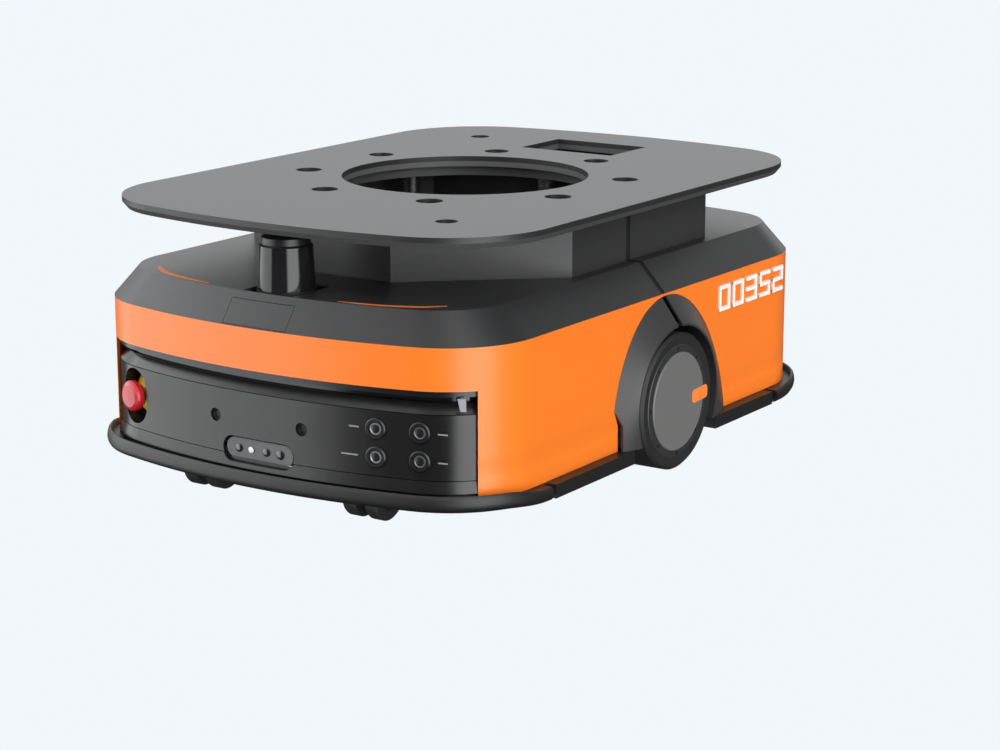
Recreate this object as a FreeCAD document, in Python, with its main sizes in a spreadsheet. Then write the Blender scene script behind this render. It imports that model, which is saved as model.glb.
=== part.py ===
import FreeCAD, Part
import math
import os

import Sketcher
from FreeCAD import Placement, Rotation, Vector

# A low mobile robot that drives under a rack or pallet and lifts it on its platform.
# Millimetres.  The origin lies on the floor under the middle of the footprint, the
# front faces -Y, the robot's own left side is +X, and the platform lifts along +Z.

doc = FreeCAD.newDocument("MobileRobot")
sheet = doc.addObject("Spreadsheet::Sheet", "Sizes")


# ---------------------------------------------------------------- sizes from the sheet

class Size:
    """A length of the sheet: its number, and the formula that binds a property to it."""

    def __init__(self, number, formula):
        self.number = number
        self.formula = formula

    def combined(self, sign, other, result):
        return Size(result, f"({self.formula} {sign} {as_size(other).formula})")

    def __add__(self, other):
        return self.combined("+", other, self.number + as_size(other).number)

    def __sub__(self, other):
        return self.combined("-", other, self.number - as_size(other).number)

    def __mul__(self, other):
        return self.combined("*", other, self.number * as_size(other).number)

    def __truediv__(self, other):
        return self.combined("/", other, self.number / as_size(other).number)

    def __neg__(self):
        return Size(-self.number, f"(-1 * {self.formula})")


def as_size(value):
    if isinstance(value, Size):
        return value
    return Size(float(value), f"{float(value):.6f}")


def number(value):
    return as_size(value).number


def sheet_sizes(rows):
    """Writes one row of the sheet per size and returns the sizes by their alias."""
    sizes = {}
    for row, (alias, value) in enumerate(rows.items(), start=1):
        sheet.set(f"A{row}", alias)
        sheet.set(f"B{row}", str(value))
        sheet.setAlias(f"B{row}", alias)
        sizes[alias] = Size(float(value), f"Sizes.{alias}")
    return sizes


S = sheet_sizes({
    # the whole robot
    "overall_half_length": 390.0,
    "overall_half_width": 272.5,
    "overall_height": 300.0,
    "body_gap": 0.4,
    # load platform
    "plate_half_width": 258.5,
    "plate_half_length": 365.0,
    "plate_bow": 850.0,
    "plate_corner": 118.0,
    "plate_thickness": 12.0,
    "plate_rim": 6.0,
    "plate_bevel": 5.0,
    "centre_hole_radius": 137.5,
    "bolt_circle_radius": 180.0,
    "bolt_hole_radius": 14.5,
    "locating_hole_radius": 11.5,
    "locating_hole_across": 153.5,
    "locating_hole_along": 256.5,
    "window_half_width": 62.0,
    "window_near": 210.0,
    "window_far": 292.0,
    # painted body shells
    "body_half_width": 257.0,
    "body_half_length": 378.0,
    "body_bow": 750.0,
    "body_corner": 100.0,
    "body_bottom": 40.0,
    "body_top": 193.5,
    "shell_wall": 3.0,
    # deck cover and lift tower
    "deck_half_width": 227.5,
    "deck_half_length": 355.0,
    "deck_corner": 80.0,
    "deck_top": 225.5,
    "seam_width": 8.0,
    "seam_depth": 4.0,
    "tower_half_width": 212.0,
    "tower_front": 238.0,
    "tower_rear": 200.0,
    "tower_front_flat": 70.0,
    "tower_rear_flat": 182.0,
    "tower_side_front": 113.0,
    "tower_side_rear": 170.0,
    "tower_top": 286.0,
    "sleeve_gap": 3.0,
    "sleeve_wall": 2.0,
    "sleeve_bottom": 204.0,
    # front and rear panels
    "recess_half_width": 235.0,
    "recess_top": 150.0,
    "panel_inset": 4.0,
    "panel_wall": 3.0,
    "panel_side_gap": 0.8,
    "shut_line": 0.8,
    "slot_top": 143.5,
    "slot_bottom": 136.0,
    "slot_inset": 15.0,
    "sill_bottom": 126.0,
    "sill_inset": 13.0,
    "kick_top": 58.0,
    "kick_bottom": 46.0,
    # buttons, sensors
    "button_high": 107.0,
    "button_low": 78.0,
    "button_inner": 140.0,
    "button_outer": 186.0,
    "button_radius": 7.0,
    "bezel_radius": 11.0,
    "button_bore": 7.1,
    "estop_across": -185.0,
    "estop_up": 93.5,
    "estop_head_radius": 16.5,
    "estop_collar_radius": 20.5,
    "estop_stem_radius": 6.0,
    "dish_half_width": 22.0,
    "dish_half_height": 30.0,
    "ultrasonic_across": 55.5,
    "ultrasonic_up": 96.0,
    "ultrasonic_radius": 7.0,
    "camera_up": 64.5,
    "camera_half_width": 46.0,
    "camera_half_height": 13.0,
    "lidar_along": -321.0,
    "lidar_radius": 30.0,
    "lidar_top_radius": 27.5,
    "lidar_cap_radius": 25.5,
    "lidar_cap_top": 281.0,
    "lidar_window_top": 271.0,
    "lidar_base_half": 32.0,
    # bumpers and skirts
    "bumper_bottom": 25.0,
    "bumper_top": 39.4,
    "bumper_bow": 760.0,
    "bumper_corner": 114.0,
    "bumper_depth": 22.0,
    "bumper_end": 241.0,
    "bumper_joint": 8.0,
    "skirt_half_width": 270.0,
    # drive wheels and arches
    "wheel_radius": 75.0,
    "wheel_along": 10.0,
    "tyre_width": 58.0,
    "tyre_inner_radius": 62.5,
    "wheel_face": 271.0,
    "hub_cap_radius": 54.0,
    "flare_half_length": 123.2,
    "flare_half_height": 176.9,
    "flare_along": 18.8,
    "flare_up": 14.9,
    "flare_front": -92.0,
    "arch_lip_radius": 85.5,
    "well_radius": 83.0,
    "skirt_gap_half": 88.0,
    "well_start": 209.0,
    # casters
    "caster_across": 105.0,
    "caster_along": 300.0,
    "caster_radius": 25.0,
    "caster_trail": 20.0,
    # frame and lift
    "frame_bottom": 40.0,
    "frame_top": 66.0,
    "rail_across": 190.0,
    "rail_width": 30.0,
    "rail_half_length": 318.0,
    "cross_along": 215.0,
    "drive_bay_half": 48.0,
    "drive_bay_inner": 96.0,
    "ladder_width": 16.0,
    "base_thickness": 4.0,
    "post_across": 160.0,
    "post_along": 120.0,
    "post_radius": 10.0,
    "post_clearance": 0.05,
    "actuator_along": 168.0,
    "actuator_radius": 28.0,
    "rod_radius": 11.0,
    "guide_plate_top": 192.0,
    "lift_frame_thickness": 12.0,
})

zero = as_size(0.0)
base_top = S["frame_top"] + S["base_thickness"]
plate_bottom = S["overall_height"] - S["plate_thickness"]
lift_frame_bottom = plate_bottom - S["lift_frame_thickness"]


# ---------------------------------------------------------------- modelling helpers

nodes = {}


def node(name, piece):
    """Names the finished piece and puts it on the list that is written out."""
    piece.Label = name
    nodes[name] = piece
    return piece


def bind(target, path, value):
    target.setExpression(path, as_size(value).formula)


def place(piece, x, y, z):
    bind(piece, "Placement.Base.x", x)
    bind(piece, "Placement.Base.y", y)
    bind(piece, "Placement.Base.z", z)


def box(name, low, high):
    piece = doc.addObject("Part::Box", name)
    bind(piece, "Length", as_size(high[0]) - low[0])
    bind(piece, "Width", as_size(high[1]) - low[1])
    bind(piece, "Height", as_size(high[2]) - low[2])
    place(piece, *low)
    return piece


def centred_box(name, centre, half_width, half_depth, bottom, top):
    low = (as_size(centre[0]) - half_width, as_size(centre[1]) - half_depth, bottom)
    high = (as_size(centre[0]) + half_width, as_size(centre[1]) + half_depth, top)
    return box(name, low, high)


UP = Rotation()
TO_PLUS_X = Rotation(Vector(0, 1, 0), 90)
TO_MINUS_X = Rotation(Vector(0, 1, 0), -90)
TO_MINUS_Y = Rotation(Vector(1, 0, 0), 90)
TO_PLUS_Y = Rotation(Vector(1, 0, 0), -90)


def cylinder(name, radius, length, start=None, direction=UP):
    """A round bar; with no start it stays at the origin until it is seated somewhere."""
    piece = doc.addObject("Part::Cylinder", name)
    piece.Placement = Placement(Vector(0, 0, 0), direction)
    bind(piece, "Radius", radius)
    bind(piece, "Height", length)
    if start is not None:
        place(piece, *start)
    return piece


def cone(name, start_radius, end_radius, length, start, direction=UP):
    piece = doc.addObject("Part::Cone", name)
    piece.Placement = Placement(Vector(0, 0, 0), direction)
    bind(piece, "Radius1", start_radius)
    bind(piece, "Radius2", end_radius)
    bind(piece, "Height", length)
    place(piece, *start)
    return piece


def fuse(name, pieces):
    joined = doc.addObject("Part::MultiFuse", name)
    joined.Shapes = pieces
    joined.Refine = True
    return joined


def group(name, pieces):
    """Several separate solids that share one node."""
    together = doc.addObject("Part::Compound", name)
    together.Links = pieces
    return together


def cut(name, base, tools):
    result = doc.addObject("Part::Cut", name)
    result.Base = base
    result.Tool = tools[0] if len(tools) == 1 else fuse(name + "_cutter", tools)
    result.Refine = True
    return result


def common(name, base, tool):
    result = doc.addObject("Part::Common", name)
    result.Base = base
    result.Tool = tool
    result.Refine = True
    return result


def body(name):
    return doc.addObject("PartDesign::Body", name)


def sketch(owner, name, role, height=zero):
    """A sketch of the body on one of its own origin planes, moved along that plane's normal."""
    plane = [feature for feature in owner.Origin.OriginFeatures if feature.Role == role][0]
    drawing = owner.newObject("Sketcher::SketchObject", name)
    drawing.AttachmentSupport = (plane, [""])
    drawing.MapMode = "FlatFace"
    bind(drawing, "AttachmentOffset.Base.z", height)
    return drawing


def dimension(drawing, kind, references, value, label):
    """Adds a named driving constraint and binds it to the sheet."""
    index = drawing.addConstraint(Sketcher.Constraint(kind, *references, number(value)))
    drawing.renameConstraint(index, label)
    bind(drawing, f"Constraints.{label}", value)


def fix_point(drawing, geometry, point, x, y, label):
    if number(x) == 0:
        drawing.addConstraint(Sketcher.Constraint("PointOnObject", geometry, point, -2))
    else:
        dimension(drawing, "DistanceX", (-1, 1, geometry, point), x, f"{label}_x")
    if number(y) == 0:
        drawing.addConstraint(Sketcher.Constraint("PointOnObject", geometry, point, -1))
    else:
        dimension(drawing, "DistanceY", (-1, 1, geometry, point), y, f"{label}_y")


def draw_circle(drawing, x, y, radius, label):
    shape = Part.Circle(Vector(number(x), number(y), 0), Vector(0, 0, 1), number(radius))
    index = drawing.addGeometry(shape)
    dimension(drawing, "Radius", (index,), radius, f"{label}_radius")
    fix_point(drawing, index, 3, x, y, label)


def draw_polygon(drawing, corners, label):
    """A closed outline of straight sides with every corner placed from the origin."""
    first = drawing.GeometryCount
    ends = [Vector(number(x), number(y), 0) for x, y in corners]
    for index, start in enumerate(ends):
        drawing.addGeometry(Part.LineSegment(start, ends[(index + 1) % len(ends)]))
    for index in range(len(ends)):
        following = first + (index + 1) % len(ends)
        drawing.addConstraint(Sketcher.Constraint("Coincident", first + index, 2, following, 1))
    for index, (x, y) in enumerate(corners):
        fix_point(drawing, first + index, 1, x, y, f"{label}{index}")


def draw_arc(drawing, centre, radius, start, end):
    circle = Part.Circle(Vector(centre[0], centre[1], 0), Vector(0, 0, 1), radius)
    return drawing.addGeometry(Part.ArcOfCircle(circle, start, end))


def draw_bowed_outline(drawing, outline, label):
    """Straight sides, rounded corners and gently bowed ends, all tangent to each other."""
    half_width, half_length, bow, corner = outline
    w, l, bow_r, corner_r = [number(value) for value in outline]
    across = w - corner_r
    reach = math.sqrt((bow_r - corner_r) ** 2 - across ** 2)
    along = reach - (bow_r - l)
    turn = math.atan2(reach, across)
    first = drawing.GeometryCount
    drawing.addGeometry(Part.LineSegment(Vector(w, -along, 0), Vector(w, along, 0)))
    draw_arc(drawing, (across, along), corner_r, 0, turn)
    draw_arc(drawing, (0, l - bow_r), bow_r, turn, math.pi - turn)
    draw_arc(drawing, (-across, along), corner_r, math.pi - turn, math.pi)
    drawing.addGeometry(Part.LineSegment(Vector(-w, along, 0), Vector(-w, -along, 0)))
    draw_arc(drawing, (-across, -along), corner_r, math.pi, math.pi + turn)
    draw_arc(drawing, (0, bow_r - l), bow_r, math.pi + turn, 2 * math.pi - turn)
    draw_arc(drawing, (across, -along), corner_r, 2 * math.pi - turn, 2 * math.pi)
    for index in range(8):
        following = first + (index + 1) % 8
        drawing.addConstraint(Sketcher.Constraint("Tangent", first + index, 2, following, 1))
    drawing.addConstraint(Sketcher.Constraint("Vertical", first))
    drawing.addConstraint(Sketcher.Constraint("Vertical", first + 4))
    drawing.addConstraint(Sketcher.Constraint("PointOnObject", first + 2, 3, -2))
    drawing.addConstraint(Sketcher.Constraint("PointOnObject", first + 6, 3, -2))
    for index in (1, 3, 5, 7):
        dimension(drawing, "Radius", (first + index,), corner, f"{label}_corner{index}")
    for index in (2, 6):
        dimension(drawing, "Radius", (first + index,), bow, f"{label}_bow{index}")
    dimension(drawing, "DistanceX", (-1, 1, first, 1), half_width, f"{label}_left")
    dimension(drawing, "DistanceX", (first + 4, 1, -1, 1), half_width, f"{label}_right")
    dimension(drawing, "DistanceY", (first + 2, 3, -1, 1), bow - half_length, f"{label}_rear")
    dimension(drawing, "DistanceY", (-1, 1, first + 6, 3), bow - half_length, f"{label}_front")


def inset(outline, amount):
    return tuple(size - amount for size in outline)


def pad(owner, drawing, length):
    feature = owner.newObject("PartDesign::Pad", drawing.Name + "_pad")
    feature.Profile = drawing
    bind(feature, "Length", length)
    drawing.Visibility = False
    return feature


def revolve(owner, drawing, axis):
    feature = owner.newObject("PartDesign::Revolution", drawing.Name + "_turned")
    feature.Profile = drawing
    feature.ReferenceAxis = (drawing, [axis])
    feature.Angle = 360.0
    return feature


def loft(owner, lower, upper, kind="PartDesign::AdditiveLoft"):
    feature = owner.newObject(kind, lower.Name + "_loft")
    feature.Profile = lower
    feature.Sections = [upper]
    feature.Ruled = True
    return feature


def ring(name, outer, inner, bottom, top):
    """A bowed band: the space between two outlines, from one height to another."""
    owner = body(name)
    drawing = sketch(owner, name + "_plan", "XY_Plane", bottom)
    draw_bowed_outline(drawing, outer, "outer")
    draw_bowed_outline(drawing, inner, "inner")
    pad(owner, drawing, as_size(top) - bottom)
    return owner


def block(name, outline, bottom, top):
    owner = body(name)
    drawing = sketch(owner, name + "_plan", "XY_Plane", bottom)
    draw_bowed_outline(drawing, outline, "edge")
    pad(owner, drawing, as_size(top) - bottom)
    return owner


def tapered_ring(name, bottom, lower_outline, top, upper_outline, wall):
    """A sloping bowed band with a wall of even width, lofted between two heights."""
    owner = body(name)
    pairs = []
    for part, shift in (("outer", zero), ("inner", wall)):
        lower = sketch(owner, f"{name}_{part}_low", "XY_Plane", bottom)
        draw_bowed_outline(lower, inset(lower_outline, shift), "low")
        upper = sketch(owner, f"{name}_{part}_high", "XY_Plane", top)
        draw_bowed_outline(upper, inset(upper_outline, shift), "high")
        pairs.append((lower, upper))
    loft(owner, *pairs[0])
    loft(owner, *pairs[1], kind="PartDesign::SubtractiveLoft")
    return owner


def turned(name, profile, where, direction=UP):
    """A turned piece: corners (radius, height) revolved about its own Z axis."""
    owner = body(name)
    drawing = sketch(owner, name + "_section", "XZ_Plane")
    draw_polygon(drawing, profile, "corner")
    revolve(owner, drawing, "V_Axis")
    owner.Placement = Placement(Vector(*[number(value) for value in where]), direction)
    return owner


def prism(name, corners, bottom, top):
    owner = body(name)
    drawing = sketch(owner, name + "_plan", "XY_Plane", bottom)
    draw_polygon(drawing, corners, "corner")
    pad(owner, drawing, as_size(top) - bottom)
    return owner


body_outline = (S["body_half_width"], S["body_half_length"], S["body_bow"], S["body_corner"])
deck_outline = (S["deck_half_width"], S["deck_half_length"], S["body_bow"], S["deck_corner"])
plate_outline = (S["plate_half_width"], S["plate_half_length"], S["plate_bow"], S["plate_corner"])
bumper_outline = (S["overall_half_width"], S["overall_half_length"], S["bumper_bow"],
                  S["bumper_corner"])
half_seam = S["seam_width"] / 2
far = as_size(420.0)


def side_slab(name, front, rear, bottom=zero, top=far):
    """A slab across the whole robot, used to keep only one stretch of its length."""
    return box(name, (-far, front, bottom), (far, rear, top))


def wheel_cutters(name, radius):
    """A cylinder through each side of the body at the drive wheels."""
    return cylinder(name, radius, far * 2, (-far, S["wheel_along"], S["wheel_radius"]), TO_PLUS_X)


# ---------------------------------------------------------------- chassis

def chassis_frame():
    """Butt-welded box-section bars: rails stopped at the drive bays, with a ladder inside."""
    half = S["rail_width"] / 2
    rail = S["rail_across"]
    low, high = S["frame_bottom"], S["frame_top"]
    middle, bay = S["wheel_along"], S["drive_bay_half"]
    outer_cross = S["cross_along"] - half
    ladder = S["drive_bay_inner"] - S["ladder_width"]
    bars = []
    for y in (-1, 1):
        near = sorted((middle + bay * y, middle + (bay + half * 2) * y), key=number)
        away = sorted((outer_cross * y, (outer_cross + half * 2) * y), key=number)
        run = sorted((middle + bay * y, S["rail_half_length"] * y), key=number)
        span = sorted((middle + (bay + half * 2) * y, outer_cross * y), key=number)
        bars.append(box(f"end_cross_{y + 1}", (half - rail, away[0], low), (rail - half, away[1], high)))
        bars.append(box(f"bay_cross_{y + 1}", (-ladder, near[0], low), (ladder, near[1], high)))
        for x in (-1, 1):
            long_rail = sorted(((rail - half) * x, (rail + half) * x), key=number)
            step = sorted((S["drive_bay_inner"] * x, (rail - half) * x), key=number)
            rung = sorted((ladder * x, S["drive_bay_inner"] * x), key=number)
            bars.append(box(f"rail_{x + 1}_{y + 1}", (long_rail[0], run[0], low), (long_rail[1], run[1], high)))
            bars.append(box(f"bay_step_{x + 1}_{y + 1}", (step[0], near[0], low), (step[1], near[1], high)))
            bars.append(box(f"ladder_{x + 1}_{y + 1}", (rung[0], span[0], low), (rung[1], span[1], high)))
    for x in (-1, 1):
        rung = sorted((ladder * x, S["drive_bay_inner"] * x), key=number)
        bars.append(box(f"bay_side_{x + 1}", (rung[0], middle - bay - half * 2, low),
                        (rung[1], middle + bay + half * 2, high)))
    return node("chassis_frame", group("chassis_frame", bars))


def base_plate():
    """Floor pan with a folded edge, notched for the drive units and wheel wells."""
    edge = inset(body_outline, S["panel_inset"] + S["panel_wall"] + 0.4)
    floor_sheet = block("base_plate_blank", edge, S["frame_top"], base_top)
    flange = ring("base_plate_flange", edge, inset(edge, 2), S["frame_bottom"] + 0.4, S["frame_top"])
    wells = [box("camera_notch", (-52, -far, zero), (52, -342, far)),
             box("dish_notch", (-212, -far, zero), (-158, -322, far)),
             box("button_notch", (128, -far, zero), (198, -328, far))]
    middle, reach = S["wheel_along"], S["well_radius"] + 4
    for side, low, high in (("left", S["rail_across"] + 16, far), ("right", -far, -S["rail_across"] - 16)):
        wells.append(box(f"wheel_well_{side}", (low, middle - reach, zero), (high, middle + reach, far)))
    bay, inner = S["drive_bay_half"], S["drive_bay_inner"]
    for side, low, high in (("left", inner, 207), ("right", -207, -inner)):
        wells.append(box(f"drive_bay_{side}", (low, middle - bay, zero), (high, middle + bay, far)))
    for x in (-1, 1):
        for y in (-1, 1):
            wells.append(cylinder(f"caster_hole_{x + 1}_{y + 1}", 8, 60,
                                  (S["caster_across"] * x, S["caster_along"] * y, 40)))
    return node("base_plate", group("base_plate", [cut("floor_pan", floor_sheet, wells),
                                                   cut("floor_edge", flange, wells)]))


# ---------------------------------------------------------------- painted body shells

def body_shell(name, front, rear, mouth_front, mouth_rear):
    """Half of the painted band, open below its recess and round the wheel arches."""
    band = ring(name + "_band", body_outline, inset(body_outline, S["shell_wall"]),
                S["body_bottom"], S["body_top"])
    half = common(name + "_half", band, side_slab(name + "_slab", front, rear))
    recess = box(name + "_recess", (-S["recess_half_width"], mouth_front, zero),
                 (S["recess_half_width"], mouth_rear, S["recess_top"]))
    arches = skin(name + "_arches", [flare_oval(name + "_oval_right", -far, S["body_gap"]),
                                     flare_oval(name + "_oval_left", far, S["body_gap"])])
    foot = prism_yz(name + "_arch_foot", flare_foot(zero - S["body_gap"]), -far, far)
    return node(name, cut(name, half, [recess, cut(name + "_arch_hole", arches, [foot])]))


# ---------------------------------------------------------------- deck and lift tower

def tower_corners(shift):
    """Plan of the lift tower: a box with two long chamfers in front and two short behind."""
    slant = shift * 0.41
    half_width = S["tower_half_width"] - shift
    front = -S["tower_front"] + shift
    rear = S["tower_rear"] - shift
    front_flat = S["tower_front_flat"] - slant
    rear_flat = S["tower_rear_flat"] - slant
    side_front = -S["tower_side_front"] + slant
    side_rear = S["tower_side_rear"] - slant
    return [(front_flat, front), (half_width, side_front), (half_width, side_rear),
            (rear_flat, rear), (-rear_flat, rear), (-half_width, side_rear),
            (-half_width, side_front), (-front_flat, front)]


def deck_shell():
    """Closed cover with sloping sides, open at the tower, from which both halves are cut."""
    owner = body("deck_shell")
    wall = S["shell_wall"]
    for part, shift, kind in (("outer", zero, "PartDesign::AdditiveLoft"),
                              ("inner", wall, "PartDesign::SubtractiveLoft")):
        lower = sketch(owner, f"deck_{part}_low", "XY_Plane", S["body_top"])
        draw_bowed_outline(lower, inset(body_outline, shift), "low")
        upper = sketch(owner, f"deck_{part}_high", "XY_Plane", S["deck_top"] - shift)
        draw_bowed_outline(upper, inset(deck_outline, shift), "high")
        loft(owner, lower, upper, kind)
    return owner


def deck_cover(name, shell, front, rear, openings):
    """One half of the dark top cover, ending in the seam beside the wheels."""
    half = common(name + "_half", shell, side_slab(name + "_slab", front, rear))
    return node(name, cut(name, half, openings))


def tower_cover(name, front, rear):
    """One half of the wall round the lift, with the black seam between the halves."""
    outer = prism(name + "_outer", tower_corners(zero), S["deck_top"], S["tower_top"])
    inner = prism(name + "_inner", tower_corners(S["shell_wall"]), zero, far)
    wall = cut(name + "_wall", outer, [inner])
    return node(name, common(name, wall, side_slab(name + "_slab", front, rear)))


def seam_strip():
    """Dark backing strip in the seam: down the tower, over the deck edge and the slope."""
    slab = side_slab("seam_slab", -half_seam + 0.3, half_seam - 0.3)
    depth = S["seam_depth"]
    tower = cut("seam_tower", prism("seam_tower_outer", tower_corners(zero + 1.2), S["deck_top"],
                                    S["tower_top"]),
                [prism("seam_tower_inner", tower_corners(S["shell_wall"]), zero, far)])
    cover = body("seam_cover")
    for part, shift, kind in (("outer", zero + 1.2, "PartDesign::AdditiveLoft"),
                              ("inner", depth, "PartDesign::SubtractiveLoft")):
        lower = sketch(cover, f"seam_{part}_low", "XY_Plane", S["body_top"])
        draw_bowed_outline(lower, inset(body_outline, shift), "low")
        upper = sketch(cover, f"seam_{part}_high", "XY_Plane", S["deck_top"] - shift)
        draw_bowed_outline(upper, inset(deck_outline, shift), "high")
        loft(cover, lower, upper, kind)
    skirt = cut("seam_skirt", cover,
                [prism("seam_opening", tower_corners(S["shell_wall"]), zero, far)])
    both = fuse("seam_both", [tower, skirt])
    return node("cover_seam_strip", common("cover_seam_strip", both, slab))


# ---------------------------------------------------------------- wheel arches and skirts

FLARE_TILT = Rotation(Vector(1, 0, 0), 8).multiply(TO_PLUS_X)


def flare_oval(name, x, grow=0.0):
    """The tall leaning oval in which the wheel-arch flare meets the painted side."""
    oval = doc.addObject("Part::Ellipse", name)
    oval.Placement = Placement(Vector(0, 0, 0), FLARE_TILT)
    bind(oval, "MajorRadius", S["flare_half_height"] + grow)
    bind(oval, "MinorRadius", S["flare_half_length"] + grow)
    place(oval, x, S["flare_along"], S["flare_up"])
    return oval


def flare_lip(name, x, radius):
    """The round edge of the flare beside the tyre."""
    edge = doc.addObject("Part::Circle", name)
    edge.Placement = Placement(Vector(0, 0, 0), FLARE_TILT)
    bind(edge, "Radius", radius)
    place(edge, x, S["wheel_along"], S["wheel_radius"])
    return edge


def skin(name, sections):
    """A solid with straight lines drawn from each closed outline to the next."""
    piece = doc.addObject("Part::Loft", name)
    piece.Sections = sections
    piece.Solid = True
    piece.Ruled = True
    return piece


def flare_foot(gap):
    """Side view of what the painted body keeps in front of the flare's cut-back foot."""
    front = S["flare_front"] + gap
    return [(-far, zero), (front, zero), (front, 68), (front - 11, 92), (-far, 92)]


def wheel_arch(name, side):
    """Moulded arch in two halves: an oval flare drawn out to a round lip, and the well barrel."""
    shell_out = S["body_half_width"]
    wall = S["shell_wall"]
    face = S["overall_half_width"]
    well = S["well_radius"]
    lip = S["arch_lip_radius"]
    outer = skin(name + "_outer", [flare_oval(name + "_foot", (shell_out - wall) * side),
                                   flare_oval(name + "_side", shell_out * side),
                                   flare_lip(name + "_lip", face * side, lip)])
    inner = skin(name + "_inner", [flare_oval(name + "_foot_in", (shell_out - wall - 1) * side, -wall - 0.5),
                                   flare_oval(name + "_side_in", (shell_out - 1) * side, -wall - 0.5),
                                   flare_lip(name + "_lip_in", (face - wall) * side, lip + 1)])
    barrel = turned(name + "_barrel", [(well - 1, S["well_start"]), (well - 1, face), (lip, face),
                                       (lip, S["well_start"])],
                    (0, S["wheel_along"], S["wheel_radius"]), TO_PLUS_X if side > 0 else TO_MINUS_X)
    moulding = fuse(name + "_moulding", [cut(name + "_flare", outer, [inner]), barrel])
    above = common(name + "_above", moulding,
                   box(name + "_trim", (-far, -far, S["body_bottom"]), (far, far, far)))
    cutters = [wheel_cutters(name + "_well", well),
               box(name + "_floor_notch", (-254, -far, S["frame_bottom"]), (254, far, base_top + 0.3)),
               prism_yz(name + "_foot_trim", flare_foot(zero), -far, far),
               prism_yz(name + "_seam", [(5.5, 160), (8.5, 150), (17.5, 150), (2, 200), (-6.5, 200)], -far, far)]
    return cut(name, above, cutters)


def side_skirts():
    """Straight rubber skirts under the painted sides, ahead of and behind each drive wheel."""
    inner = S["body_half_width"] - 17
    outer = S["skirt_half_width"]
    end = S["bumper_end"] - S["bumper_joint"]
    top = S["bumper_top"] + 0.3
    strips = [box("left_skirt", (inner, -end, S["bumper_bottom"]), (outer, end, top)),
              box("right_skirt", (-outer, -end, S["bumper_bottom"]), (-inner, end, top))]
    middle, reach = S["wheel_along"], S["skirt_gap_half"]
    wheels = box("skirt_wheel_gap", (-far, middle - reach, zero), (far, middle + reach, far))
    return node("side_skirts", cut("side_skirts", group("skirt_strips", strips), [wheels]))


def bumper(name, sign):
    """Sprung rubber bumper that wraps one end of the robot and slides in under the body."""
    owner = body(name + "_band")
    depth = S["bumper_depth"]
    nose = as_size(4.0)
    middle = S["bumper_bottom"] + (S["bumper_top"] - S["bumper_bottom"]) / 2
    core = sketch(owner, name + "_core", "XY_Plane", S["bumper_bottom"])
    draw_bowed_outline(core, inset(bumper_outline, nose), "outer")
    lower = sketch(owner, name + "_middle", "XY_Plane", middle)
    draw_bowed_outline(lower, bumper_outline, "outer")
    loft(owner, core, lower)
    upper = sketch(owner, name + "_top", "XY_Plane", S["bumper_top"])
    draw_bowed_outline(upper, inset(bumper_outline, nose), "outer")
    again = sketch(owner, name + "_middle_again", "XY_Plane", middle)
    draw_bowed_outline(again, bumper_outline, "outer")
    loft(owner, again, upper)
    hollow = block(name + "_hollow", inset(bumper_outline, depth), zero, far)
    low, high = (-far, -S["bumper_end"]) if sign < 0 else (S["bumper_end"], far)
    band = cut(name + "_ring", owner, [hollow])
    return node(name, common(name, band, side_slab(name + "_slab", low, high)))


# ---------------------------------------------------------------- front and rear panels

def end_trim(name, sign):
    half = S["recess_half_width"] - S["panel_side_gap"]
    low, high = (-far, -250) if sign < 0 else (250, far)
    return box(name, (-half, low, zero), (half, high, far))


def panel_band(name, sign, bottom, top, outer_inset, inner_inset):
    band = ring(name + "_band", inset(body_outline, outer_inset), inset(body_outline, inner_inset),
                bottom, top)
    return common(name + "_trimmed", band, end_trim(name + "_ends", sign))


def panel_place(across, up, depth=0.0):
    """Seat on the panel's bowed face: local -Y points straight out of the panel."""
    centre = number(S["body_bow"] - S["body_half_length"])
    radius = number(S["body_bow"] - S["panel_inset"])
    lean = math.asin(number(across) / radius)
    reach = radius - depth
    where = Vector(reach * math.sin(lean), centre - reach * math.cos(lean), number(up))
    return Placement(where, Rotation(Vector(0, 0, 1), math.degrees(lean)))


def seated(piece, across, up, depth=0.0):
    """Turns a piece made along local Z so that Z points out of the panel at its seat."""
    seat = panel_place(across, up, depth)
    piece.Placement = Placement(seat.Base, seat.Rotation.multiply(TO_MINUS_Y))
    return piece


def pill(name, half_width, half_height, length):
    """A round-ended block along local Z, centred on its axis and starting at z = 0."""
    owner = body(name)
    drawing = sketch(owner, name + "_shape", "XY_Plane")
    wide = number(half_width) > number(half_height)
    radius = half_height if wide else half_width
    reach = (half_width if wide else half_height) - radius
    tilt = 0 if wide else math.pi / 2
    r, d = number(radius), number(reach)
    ahead = Vector(math.cos(tilt), math.sin(tilt), 0)
    aside = Vector(-math.sin(tilt), math.cos(tilt), 0)
    draw_arc(drawing, tuple(ahead * d)[:2], r, tilt - math.pi / 2, tilt + math.pi / 2)
    drawing.addGeometry(Part.LineSegment(ahead * d + aside * r, ahead * -d + aside * r))
    draw_arc(drawing, tuple(ahead * -d)[:2], r, tilt + math.pi / 2, tilt + 3 * math.pi / 2)
    drawing.addGeometry(Part.LineSegment(ahead * -d - aside * r, ahead * d - aside * r))
    for index in range(4):
        drawing.addConstraint(Sketcher.Constraint("Tangent", index, 2, (index + 1) % 4, 1))
    dimension(drawing, "Radius", (0,), radius, "end_radius")
    fix_point(drawing, 0, 3, reach if wide else zero, zero if wide else reach, "first")
    fix_point(drawing, 2, 3, -reach if wide else zero, zero if wide else -reach, "second")
    pad(owner, drawing, length)
    return owner


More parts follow.
